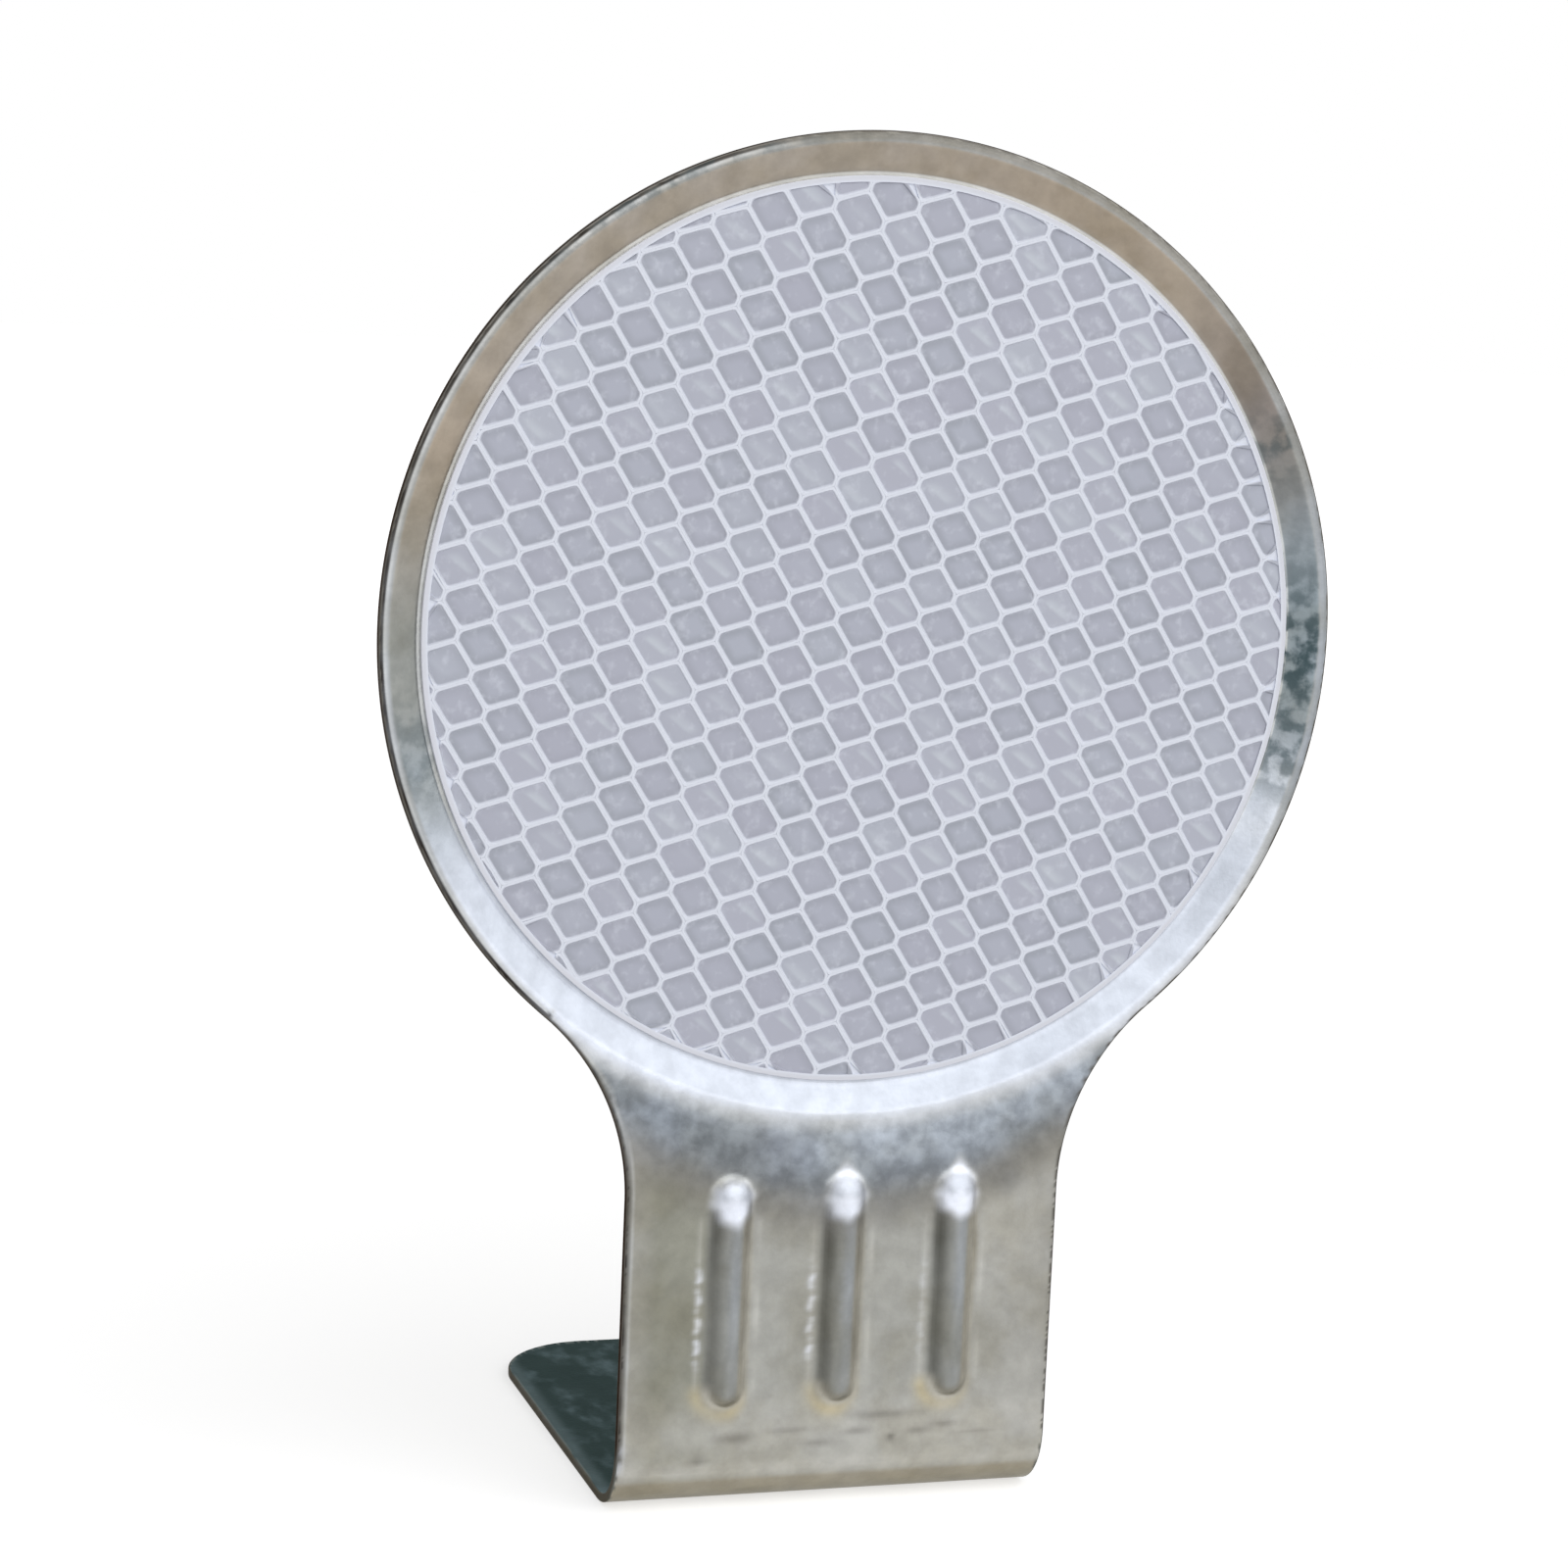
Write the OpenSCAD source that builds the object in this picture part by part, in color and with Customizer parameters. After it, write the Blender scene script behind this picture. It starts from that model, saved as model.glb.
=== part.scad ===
// Reflective driveway marker: one stamped sheet-steel plate with a round dished head,
// a neck with three pressed beads and a foot bent back at the bottom, and a round
// honeycomb reflective disc stuck in the dish.
// The reflector faces -Y, the foot runs back along +Y, and the origin is the centre
// of the flat underside of the foot. Sizes are in millimetres.

/* [Sheet] */
// Thickness of the steel sheet
sheet_t = 1; // [0.6:0.1:1.6]
// Inside radius of the bend between the panel and the foot
bend_r = 7; // [2:0.5:10]

/* [Reflector] */
// Diameter of the reflective disc
reflector_d = 100.4; // [80:0.2:120]
// Thickness of the disc's backing, up to the floor of its cells
film_t = 0.35; // [0.2:0.05:0.6]
// Height of the ridges between the cells
ridge_h = 0.15; // [0.1:0.05:0.3]
// Width of the plain rim round the cells
rim_w = 0.7; // [0.4:0.1:2]

/* [Honeycomb] */
// Width of a cell along its row, from wall centre to wall centre
cell_w = 5.98; // [4:0.01:9]
// Distance from one row of cells to the next
row_pitch = 3.43; // [2.5:0.01:5]
// Length of the short side between two cells of a row
cell_side = 1.15; // [0.4:0.05:2.5]
// Width of the wall between two cells
wall_w = 0.7; // [0.4:0.05:1.2]
// Turn of the rows, anticlockwise from level as seen from the front
row_angle = -20.6; // [-90:0.1:90]
// Shift of the pattern to the right of the disc's centre
pattern_x = -1.06; // [-3:0.01:3]
// Shift of the pattern above the disc's centre
pattern_z = 0.96; // [-3:0.01:3]

/* [Head] */
// Gap between the disc's edge and the foot of the dish's slope
reflector_gap = 0.3; // [0.1:0.1:1]
// Width of the dish's sloping ring, seen from the front
slope_w = 3.5; // [3:0.1:8]
// Width of the flat lip round the dish
lip_w = 1; // [0.5:0.1:5]
// Depth of the dish's floor behind the lip
dish_depth = 1.4; // [1:0.1:2.5]
// Inside radius of the two folds of the dish
fold_r = 0.5; // [0.2:0.1:0.8]

/* [Neck] */
// Height of the dish's lowest point above the base
neck_h = 46; // [36:1:80]
// Width of the neck, the bend and the foot
panel_w = 51; // [40:1:80]
// Radius of the hollow curve between head and neck
neck_r = 27.5; // [10:0.5:32]

/* [Beads] */
// Number of beads side by side
bead_count = 3; // [1:1:3]
// Distance from one bead to the next
bead_pitch = 13.3; // [9:0.1:16]
// Width of a bead on the panel
bead_w = 5.8; // [4:0.1:8]
// Height of a bead in front of the panel
bead_h = 1.5; // [0.8:0.1:2]
// Gap between the bend and the beads' lower ends
bead_low_gap = 4.2; // [2:0.1:10]
// Gap between the beads' upper ends and the dish
bead_top_gap = 6; // [2:0.1:10]

/* [Foot] */
// Length of the foot, from the panel's front to its free end
foot_l = 64; // [40:1:90]
// Radius of the two free corners of the foot
foot_corner_r = 12; // [3:1:18]

/* [Hidden] */
$fn = 96;

// The bend: its outside radius, which is also where the flat foot begins
bend_outer_r = bend_r + sheet_t;
// Where the middle of the foot's flat underside lies behind the panel's front
base_y = (bend_outer_r + foot_l) / 2;

// The head, from the disc outwards
reflector_r = reflector_d / 2;
dish_floor_r = reflector_r + reflector_gap;
dish_mouth_r = dish_floor_r + slope_w;
head_r = dish_mouth_r + lip_w;
head_z = neck_h + dish_mouth_r;

// Slope of the dish's ring: the angle at which a straight line joins the two folds
both_folds = 2 * fold_r + sheet_t;
slope_angle = asin(both_folds / norm([slope_w, both_folds - dish_depth]))
    - atan2(both_folds - dish_depth, slope_w);
fold_steps = 6;

// Centre height of the neck's hollow curves, which touch the head and the panel's sides
neck_arc_x = panel_w / 2 + neck_r;
neck_arc_z = head_z - sqrt(pow(head_r + neck_r, 2) - pow(neck_arc_x, 2));

// A bead is a rod with round ends, sunk until its width on the panel is bead_w
bead_r = (pow(bead_w / 2, 2) + pow(bead_h, 2)) / (2 * bead_h);
bead_depth = bead_r - bead_h;
bead_bottom_z = bend_outer_r + bead_low_gap + bead_w / 2;
bead_top_z = neck_h - bead_top_gap - bead_w / 2;

// The honeycomb: cells reach cell_reach past the rim where enough of one would show
cell_area_r = reflector_r - rim_w;
cell_reach = 1.2;
row_count = ceil(reflector_r / row_pitch);
column_count = ceil(reflector_r / cell_w);

// A drawing in X and Z, stood up as a sheet from y = 0 backwards
module upright(thickness) {
    rotate([90, 0, 0])
        translate([0, 0, -thickness])
            linear_extrude(thickness)
                children();
}

// Points of an arc about a centre, from one angle to another
function arc(centre, radius, from, to) = [
    for (i = [0 : fold_steps])
        let (angle = from + (to - from) * i / fold_steps)
            centre + radius * [cos(angle), sin(angle)]
];

// Section of the dish as radius and depth: lip, slope and floor, front face then back face
lip_fold = [dish_mouth_r, fold_r + sheet_t];
floor_fold = [dish_floor_r, dish_depth - fold_r];
dish_section = concat(
    [[0, dish_depth]],
    arc(floor_fold, fold_r, 90, 90 - slope_angle),
    arc(lip_fold, fold_r + sheet_t, -90 - slope_angle, -90),
    arc(lip_fold, fold_r, -90, -90 - slope_angle),
    arc(floor_fold, fold_r + sheet_t, 90 - slope_angle, 90),
    [[0, dish_depth + sheet_t]]
);

module plate_outline() {
    translate([0, head_z])
        circle(head_r, $fn = 180);
    translate([-panel_w / 2, bend_outer_r])
        square([panel_w, neck_arc_z - bend_outer_r]);
    for (side = [-1, 1])
        difference() {
            polygon([[0, head_z], [side * neck_arc_x, neck_arc_z], [0, neck_arc_z]]);
            translate([side * neck_arc_x, neck_arc_z])
                circle(neck_r, $fn = 180);
        }
}

module flat_plate() {
    upright(sheet_t)
        difference() {
            plate_outline();
            translate([0, head_z])
                circle(dish_mouth_r, $fn = 180);
        }
}

module dish() {
    translate([0, 0, head_z])
        rotate([-90, 0, 0])
            rotate_extrude($fn = 180)
                polygon(dish_section);
}

// A rod with round ends along a bead's axis
module bead_rod(radius) {
    translate([0, bead_depth, bead_bottom_z])
        cylinder(r = radius, h = bead_top_z - bead_bottom_z);
    for (z = [bead_bottom_z, bead_top_z])
        translate([0, bead_depth, z])
            sphere(radius);
}

module at_beads() {
    for (i = [0 : bead_count - 1])
        translate([(i - (bead_count - 1) / 2) * bead_pitch, 0, 0])
            children();
}

// The part of a bead's rod in front of the middle of the sheet
module bead_front() {
    intersection() {
        bead_rod(bead_r);
        translate([-bead_w, -2 * bead_h, 0])
            cube([2 * bead_w, 2 * bead_h + sheet_t / 2, neck_h]);
    }
}

module bend() {
    translate([-panel_w / 2, bend_outer_r, bend_outer_r])
        rotate([0, 90, 0])
            rotate(-90)
                rotate_extrude(angle = 90)
                    translate([bend_r, 0])
                        square([sheet_t, panel_w]);
}

module foot() {
    flat_l = foot_l - bend_outer_r;
    translate([0, bend_outer_r, 0])
        linear_extrude(sheet_t) {
            translate([-panel_w / 2, 0])
                square([panel_w, flat_l - foot_corner_r]);
            translate([foot_corner_r - panel_w / 2, 0])
                square([panel_w - 2 * foot_corner_r, flat_l]);
            for (side = [-1, 1])
                translate([side * (panel_w / 2 - foot_corner_r), flat_l - foot_corner_r])
                    circle(foot_corner_r);
        }
}

module marker_plate() {
    color("silver")
        translate([0, -base_y, 0])
            difference() {
                union() {
                    flat_plate();
                    dish();
                    bend();
                    foot();
                    at_beads()
                        bead_front();
                }
                at_beads()
                    bead_rod(bead_r - sheet_t);
            }
}

// Hollow of one cell: a hexagon set in from the walls' centre lines by half a wall
module cell() {
    half_wall = wall_w / 2;
    half_w = cell_w / 2;
    tip = row_pitch - cell_side / 2;
    fall = (tip - cell_side / 2) / half_w;
    inner_tip = tip - half_wall * norm([1, fall]);
    inner_x = half_w - half_wall;
    inner_z = inner_tip - fall * inner_x;
    polygon([
        [inner_x, inner_z], [0, inner_tip], [-inner_x, inner_z],
        [-inner_x, -inner_z], [0, -inner_tip], [inner_x, -inner_z]
    ]);
}

// Centres of the cells in the rows' own directions, every other row half a cell along
cell_centres = [
    for (row = [-row_count : row_count])
        for (column = [-column_count : column_count])
            [(column + (row % 2 == 0 ? 0 : 0.5)) * cell_w, row * row_pitch]
];

// The pattern's shift, seen in the rows' own directions
pattern_shift = [
    pattern_x * cos(row_angle) + pattern_z * sin(row_angle),
    pattern_z * cos(row_angle) - pattern_x * sin(row_angle)
];

module honeycomb() {
    rotate(row_angle)
        for (centre = cell_centres)
            if (norm(centre + pattern_shift) < cell_area_r + cell_reach)
                translate(centre + pattern_shift)
                    cell();
}

module reflective_disc() {
    color("gainsboro")
        translate([0, dish_depth - film_t - ridge_h - base_y, head_z]) {
            upright(ridge_h)
                difference() {
                    circle(reflector_r, $fn = 180);
                    intersection() {
                        circle(cell_area_r, $fn = 180);
                        honeycomb();
                    }
                }
            translate([0, ridge_h, 0])
                upright(film_t)
                    circle(reflector_r, $fn = 180);
        }
}

marker_plate();
reflective_disc();
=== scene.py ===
"""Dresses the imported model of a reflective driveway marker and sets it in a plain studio.

The plate is one galvanised sheet: its front is worked out as a surface, the back is the
front moved through the sheet, and an edge band closes the two all the way round. The film
is a base disc with one shallow cup for each cell. Lengths are in metres, in the frame of
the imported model: the reflector faces -Y and the foot runs back along +Y.
"""

import math
from typing import NamedTuple

import bmesh
import bpy
import numpy as np
from bpy.props import FloatProperty, FloatVectorProperty, IntProperty, PointerProperty
from mathutils import Matrix, Vector


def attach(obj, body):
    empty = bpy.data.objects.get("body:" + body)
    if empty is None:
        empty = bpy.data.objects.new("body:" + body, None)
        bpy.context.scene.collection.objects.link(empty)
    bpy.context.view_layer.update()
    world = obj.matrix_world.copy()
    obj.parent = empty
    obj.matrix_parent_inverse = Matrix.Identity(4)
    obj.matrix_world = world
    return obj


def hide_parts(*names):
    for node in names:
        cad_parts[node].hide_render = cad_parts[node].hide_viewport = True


bl_info = {
    "name": "Reflective Driveway Marker",
    "version": (1, 0, 0),
    "blender": (4, 5, 0),
    "location": "View3D > Sidebar > Marker",
    "description": "Builds the marker's plate, its honeycomb film and a plain studio",
    "category": "Add Mesh",
}

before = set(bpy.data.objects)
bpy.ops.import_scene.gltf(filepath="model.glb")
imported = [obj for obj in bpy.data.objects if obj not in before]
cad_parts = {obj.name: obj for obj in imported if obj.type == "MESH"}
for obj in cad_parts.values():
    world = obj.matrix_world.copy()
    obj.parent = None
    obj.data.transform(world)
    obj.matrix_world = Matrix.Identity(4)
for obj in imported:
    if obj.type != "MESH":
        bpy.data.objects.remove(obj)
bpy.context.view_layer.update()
BODY = "root"
MM = 0.001
WHITE = (1.0, 1.0, 1.0)
# Points of a mesh that are closer than this become one, in metres.
WELD = 2e-6
# A number that only keeps a division or a root away from nothing.
TINY = 1e-12
# Material slot of each kind of patch of the plate, and how strongly its back is spangled.
SLOT_OF = {"front": 0, "back": 0, "shaded_foot_top": 1, "edge": 2}
BACK_SPANGLE = 0.35

# The plate's mesh, in metres: the radius of the arc below the head where its rings meet the
# neck's columns, half the width in which the columns run straight up, the number of columns,
# and how far above the beads the neck's level rows end.
JOIN_RADIUS = 0.0585
CORE = 0.0195
COLUMNS = 161
ABOVE_BEADS = 0.0006

# The film's mesh, in metres: the room between neighbouring cups, how far their backs stand
# behind the cells' floors, half the run of a ridge's side, a step along a cell's side from
# its corner, and the radius of the disc's worn edge.
CUP_GAP = 0.000005
CUP_BACK = 0.00005
RIDGE_SLOPE = 0.00008
CORNER_STEP = 0.00045
FILM_EDGE = 0.0001
# How sharp the cells' corners are, as ray_reach explains it: seen ones, and the cups' hidden sides.
SEEN_CORNERS = 18.0
HIDDEN_CORNERS = 200.0
# In the film's colours, in metres: the size of the rounded corners, and half the walls' soft edges.
CELL_CORNER = 0.00022
WALL_BLUR = 0.00019
# Seed of the cells' chance numbers.
CELL_SEED = 7
# A second chance number is what is left of the first, times this, without its whole part.
CHANCE_STEPS = 17.0
# The camera's sensor width, in millimetres, and the nearest distance that it sees, in metres.
SENSOR = 36.0
NEAREST = 0.01

# Colours round the dish's slope, which are painted reflections: degrees from the right, anticlockwise, and
# the colour there.
SLOPE_STOPS = (
    (-180, "dull"),
    (-172, "dull"),
    (-163, "cool"),
    (-150, "lower_sheen"),
    (-84, "lower_sheen"),
    (-62, "lower_sheen_dim"),
    (-46, "lower_sheen"),
    (-32, "lower_sheen_dim"),
    (-22, "lower_sheen"),
    (-12, "cool"),
    (-6, "shade"),
    (5, "shade"),
    (13, "cool"),
    (30, "brown"),
    (50, "tan"),
    (70, "tan"),
    (95, "tan_pale"),
    (140, "tan_pale"),
    (158, "tan"),
    (180, "dull"),
)
# Colours across the neck: millimetres from its middle line, and the colour there.
NECK_STOPS = (
    (-25.5, "zinc_right"),
    (-21.5, "zinc_left"),
    (-16.0, "zinc_left"),
    (-11.0, "zinc"),
    (10.0, "zinc"),
    (25.5, "zinc_right"),
)
# Painted dark reflections on the dish's slope: angle and half width in degrees, and strength.
SLOPE_DARK_REFLECTIONS = ((-2.0, 11.0, 1.0), (25.0, 4.0, 0.55), (-15.0, 5.0, 0.45), (-166.0, 7.0, 0.35))

# Soft spots on the plate's front, in millimetres: colour, place across and up, half width,
# half height, and strength.
# The low rows, on the bend and just above it, are a painted reflection of the bright ground; the high one on
# the right is lighter zinc.
NECK_LIGHTS = (
    ("pale_zinc_and_sheen", 0.0, 9.5, math.inf, 3.5, 0.55),
    ("pale_zinc_and_sheen", 19.0, 34.0, 4.0, 6.67, 0.5),
    ("pale_zinc_and_sheen", 14.0, 8.5, 9.0, 3.5, 0.5),
    ("pale_zinc_and_sheen", 0.0, 5.2, math.inf, 1.3, 0.9),
)
# Brown spots on the third bead's right side.
BEAD_SPOTS = (("brown_spot_and_shade", 15.8, 30.0, 0.5, 4.0, 0.45),)
# Dark streaks of painted shade where the sheet begins to bend, a dark nick in the left edge and two painted
# highlights beside the nick.
BEND_MARKS = (
    ("bend_shade", 5.8, 10.9, 3.4, 0.5, 0.54),
    ("bend_shade", -12.0, 9.0, 2.2, 0.6, 0.6),
    ("bend_shade", -5.5, 9.6, 2.6, 0.35, 0.42),
    ("bend_shade", -2.0, 8.0, 2.2, 0.4, 0.48),
    ("bend_shade", 2.6, 9.1, 1.6, 0.4, 0.48),
    ("bend_shade", 6.8, 8.2, 0.5, 0.4, 0.84),
    ("bend_shade", 10.2, 8.8, 1.7, 0.4, 0.48),
    ("bend_shade", 13.0, 9.4, 1.8, 0.4, 0.54),
    ("bend_shade", 17.5, 8.3, 2.4, 0.3, 0.36),
    ("bend_shade", -16.2, 6.7, 1.1, 0.35, 0.9),
    ("bend_shade", -20.0, 5.9, 2.4, 0.22, 0.6),
    ("cut", -25.5, 7.2, 0.6, 0.45, 1.0),
    ("glare", -25.3, 8.3, 0.5, 0.45, 1.0),
    ("glare", -25.3, 6.1, 0.5, 0.5, 1.0),
)
DARK_CLOUDS = (
    ("cloud_dark", -8.0, 42.8, 4.0, 3.0, 0.55),
    ("cloud_dark", -7.5, 38.3, 2.2, 1.6, 0.4),
    ("cloud_dark", 5.5, 38.8, 2.0, 1.4, 0.35),
    ("cloud_dark", 19.0, 38.6, 2.2, 1.8, 0.5),
)

# Heights in millimetres at which a bead's colours, the painted light lines beside it and its
# glinting dashes begin, are full, are last full and end.
BEAD_SPAN = (12.3, 14.5, 35.0, 37.0)
LINE_SPAN = (13.5, 16.0, 33.5, 35.5)
DASH_SPAN = (16.5, 19.0, 27.0, 30.5)
# Fades across a bead, in millimetres to the right of its middle line: where a colour is gone
# and where it is full. The crown's counts both ways.
CROWN_SIDES = (3.1, 2.0)
TAN_SIDE = (0.9, 1.5)
TAN_REFLECTION_SIDE = (3.5, 0.5)
# In millimetres: how far in from its bottom and its top the middles of a bead's rounded ends
# stand, and the middle, the half width and the reach up and down of its white top, a painted highlight.
LOW_END_IN = 2.9
RING_IN = 3.02
TOP_MIDDLE = 36.7
TOP_HALF = 2.65
TOP_UP = 2.4
TOP_DOWN = 2.7
# Rings round the middle of a bead's lower end, in millimetres: their radius and half width. They are a
# painted tan reflection, a painted highlight and a brown spot of painted shade.
TAN_REFLECTION_RING = (3.1, 0.9)
LIGHT_RING = (2.0, 0.5)
BROWN_RING = (1.3, 0.5)
# For each bead: the strength of its glinting dashes, painted highlights, how far the middle of its
# painted white top rises in millimetres, and how white the top is.
GLINT_DASHES = (0.62, 0.62, 0.2)
PEAKS = (0.3, 1.6, 1.4)
TOP_WHITE = (0.92, 0.8, 0.92)
# Waves, as ripple adds them up: height, rate, and the shift from one bead to the next. They
# run along the glinting dashes, round the painted white top and across the painted tan reflection.
DASH_WAVES = ((1.0, 2.3, 2.0), (0.7, 5.3, 1.0))
TOP_WAVES = ((0.06, 3.0, 2.0), (0.04, 8.0, 1.0))
TAN_REFLECTION_WAVES = ((0.25, 0.9, 2.3),)


# Fades outwards from the dish's mouth, in millimetres: where a colour is gone and where it is
# full, and for the lip also where it begins to go and where it is gone again.
SLOPE_OUT = (0.2, -0.4)
SHEEN_OUT = (-0.7, 0.05)
SHEEN_END = (2.8, -1.7)
LIP_OUT = (-0.4, 0.2, 1.0, 2.0)
DARK_REFLECTION_OUT = (0.1, -0.3)
CLOUD_OUT = (1.0, 3.0)
SIDES_OUT = (1.5, 3.5)
# The same, outwards from the dish's floor.
LIGHT_FOLD = (0.25, 0.05)
GLARE_FOLD = (0.35, 0.15)
# Fades round the head, in degrees either way from straight down.
SHEEN_RIGHT = (74.0, 54.0)
SHEEN_LEFT = (70.0, 50.0)
FROST_ROUGH = (75.0, 60.0)
SPANGLE_ROUND = (50.0, 40.0)
LOW_ROUND = (38.0, 22.0)
# Middle of the lip's warm, darker upper part, which is painted shade, in degrees, and its fade either way
# from there.
LIP_TOP = 95.0
LIP_TOP_ROUND = (100.0, 45.0)


class Stripe(NamedTuple):
    """A stripe of colour along each bead, in millimetres from its middle line and above the base.

    Its weight grows by the gain from the start to the full height, the waves are added, and
    each bead takes its share.
    """

    colour: str
    middle: float
    half: float
    weight: float
    gain: float = 0.0
    start: float = 0.0
    full: float = 1.0
    waves: tuple = ()
    shares: tuple = (1.0, 1.0, 1.0)


BLUE_STRIPE = Stripe("bead_blue", 0.4, 0.8, 0.3, gain=0.5, start=16.0, full=26.0)
# A painted highlight on the right flank.
GLINT_STRIPE = Stripe("bead_glint", 2.0, 0.5, 0.765, waves=((0.135, 0.7, 3.0),))
# Painted shade on the left flank, which mirrors dark surroundings.
FLANK_SHADE_STRIPE = Stripe("flank", -1.9, 0.9, 0.65, gain=0.35, start=26.0, full=34.0, shares=(0.75, 1.0, 0.95))
# Painted highlights just outside the bead on both sides.
RIGHT_LINE = Stripe("side_line_highlight", 3.4, 0.35, 0.16, waves=((0.14, 0.6, 2.0),))
LEFT_LINE = Stripe("side_line_highlight", -3.5, 0.3, 0.2)


def length(name, description, default):
    """A length setting, in metres."""
    return FloatProperty(name=name, description=description, default=default, precision=5, unit="LENGTH")


def angle(name, description, degrees):
    """An angle setting, given here in degrees and kept in radians."""
    return FloatProperty(name=name, description=description, default=math.radians(degrees), subtype="ANGLE")


def level(name, description, default):
    """A brightness, where 1 is white."""
    return FloatProperty(name=name, description=description, default=default, min=0.0)


def paint(name, description, red, green, blue):
    """A colour setting, given here as it looks on a screen, from 0 to 255, and kept linear."""
    screen = np.array([red, green, blue]) / 255.0
    linear = np.where(screen <= 0.04045, screen / 12.92, ((screen + 0.055) / 1.055) ** 2.4)
    default = [float(part) for part in linear]
    fixed = {"subtype": "COLOR", "min": 0.0, "max": 1.0}
    return FloatVectorProperty(name=name, description=description, default=default, **fixed)


class PlateSettings(bpy.types.PropertyGroup):
    """Sizes and colours of the galvanised plate."""

    thickness: length("Thickness", "Thickness of the sheet", 0.001)
    edge_radius: length("Edge radius", "Radius of the worn edges of the sheet", 0.0002)
    head_height: length("Head height", "Height of the head's centre above the base", 0.1)
    head_radius: length("Head radius", "Outside radius of the round head", 0.055)
    mouth_radius: length("Mouth radius", "Radius at which the flat lip turns into the dish", 0.054)
    floor_radius: length("Floor radius", "Radius at which the dish's slope meets its floor", 0.0505)
    dish_depth: length("Dish depth", "Depth of the dish's floor behind the lip", 0.0014)
    fold_radius: length("Fold radius", "Inside radius of the dish's two folds", 0.0005)
    panel_width: length("Panel width", "Width of the neck and the foot", 0.051)
    neck_radius: length("Neck radius", "Radius of the hollow curves beside the neck", 0.0275)
    bend_radius: length("Bend radius", "Outside radius of the bend above the foot", 0.008)
    foot_length: length("Foot length", "Depth of the foot, from the panel's front", 0.064)
    foot_corner: length("Foot corner", "Radius of the foot's two free corners", 0.012)
    bead_count: IntProperty(name="Beads", description="Number of pressed beads", default=3, min=1, max=3)
    bead_pitch: length("Bead pitch", "Distance from one bead to the next", 0.0133)
    bead_height: length("Bead height", "Height of the beads in front of the panel", 0.0015)
    bead_crown: length("Bead crown", "Radius of a bead's rounded crown", 0.0025)
    bead_fillet: length("Bead fillet", "Radius of the hollow curve at a bead's foot", 0.0013)
    bead_bottom: length("Bead bottom", "Height of the beads' lower ends", 0.012)
    bead_top: length("Bead top", "Height of the beads' upper ends", 0.04)
    zinc: paint("Zinc", "Dull zinc of the neck and the back", 154, 154, 149)
    zinc_left: paint("Left zinc", "Warmer, darker zinc of the neck's left side", 134, 134, 124)
    zinc_right: paint("Right zinc", "Zinc of the neck's right side", 155, 154, 149)
    # The lightest zinc is mostly a painted reflection of the bright ground on and above the bend, and the
    # bend's tan band a painted reflection of the shaded ground under the marker.
    pale_zinc_and_sheen: paint("Light zinc", "Lightest zinc, above the bend", 177, 176, 171)
    bend_reflection: paint("Bend", "Tan band along the bend", 149, 143, 129)
    # From tan to shade: painted reflections of the surroundings in the dish's slope.
    tan: paint("Tan", "Warm zinc of the dish's upper slope", 153, 142, 128)
    tan_pale: paint("Pale tan", "Paler zinc of the dish's upper left slope", 157, 149, 139)
    brown: paint("Brown", "Darker warm zinc of the slope's right part", 126, 119, 114)
    dull: paint("Dull", "Greenish grey of the slope's left part", 130, 132, 129)
    cool: paint("Cool", "Blue grey beside the dark patches", 128, 135, 140)
    shade: paint("Shade", "Blue grey among the dark patches", 124, 134, 140)
    # Painted dark reflections on the dish's slope.
    patch: paint("Patch", "Dark patches in the zinc", 62, 76, 80)
    # Painted highlights on the dish's lower slope, over the soft light's own reflection.
    lower_sheen: paint("Frost", "Pale cool zinc of the dish's lower slope", 178, 183, 192)
    lower_sheen_dim: paint("Right frost", "The lower slope's zinc at the right, less bright", 167, 172, 181)
    # Painted highlight at the upper end of a bead's white top.
    top_end_sheen: paint("Light frost", "Pale zinc where a bead's top catches the light", 168, 173, 181)
    glare: paint("Glare", "Almost white zinc below the dish and on the beads' tops", 222, 226, 236)
    # Painted highlight: the glare that runs out of the dish's lower part over the lip.
    glow: paint("Lower lip", "Pale zinc of the lip's lower part, running into the spangle", 208, 213, 223)
    # Painted highlight: a light strip just inside the left outline, and a light line at the dish's floor
    # fold.
    strip_highlight: paint("Light strip", "Light worn strip along the lip's left part", 178, 180, 181)
    lip_side: paint("Lip side", "Cool grey zinc of the flat lip at the sides", 144, 149, 155)
    # Painted shade: the flat lip is darker at its top.
    lip_top_shade: paint("Lip top", "Darker, warmer zinc of the flat lip at the top", 127, 125, 120)
    cloud_tint: paint("Warm cloud", "Tint of the zinc's warmer clouds", 253, 251, 245)
    spangle_dark: paint("Dark spangle", "Darker crystals below the head", 119, 126, 134)
    spangle_light: paint("Light spangle", "Lighter crystals below the head", 155, 162, 171)
    cloud_dark: paint("Dark cloud", "Darkest spangle, beside the beads' tops", 104, 109, 118)
    bead_grey: paint("Bead", "Zinc of the beads", 132, 133, 129)
    bead_blue: paint("Bead middle", "Bluish stripe along a bead", 142, 146, 150)
    bead_tan: paint("Bead side", "Tan right side of a bead", 140, 134, 118)
    # Painted shade on a bead's left flank.
    flank: paint("Flank", "Dark left side of a bead", 76, 76, 71)
    # Painted highlight on a bead's right flank and round its lower end.
    bead_glint: paint("Bead flank", "Right flank of a bead, which mirrors the panel", 190, 187, 178)
    # Painted highlights just outside the beads.
    side_line_highlight: paint("Light line", "Worn light lines beside the beads", 204, 203, 198)
    # Painted reflection of the tan ground on the downward faces round a bead's lower end.
    tan_end_reflection: paint("Stain", "Yellow stain round a bead's lower end", 184, 170, 132)
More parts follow.
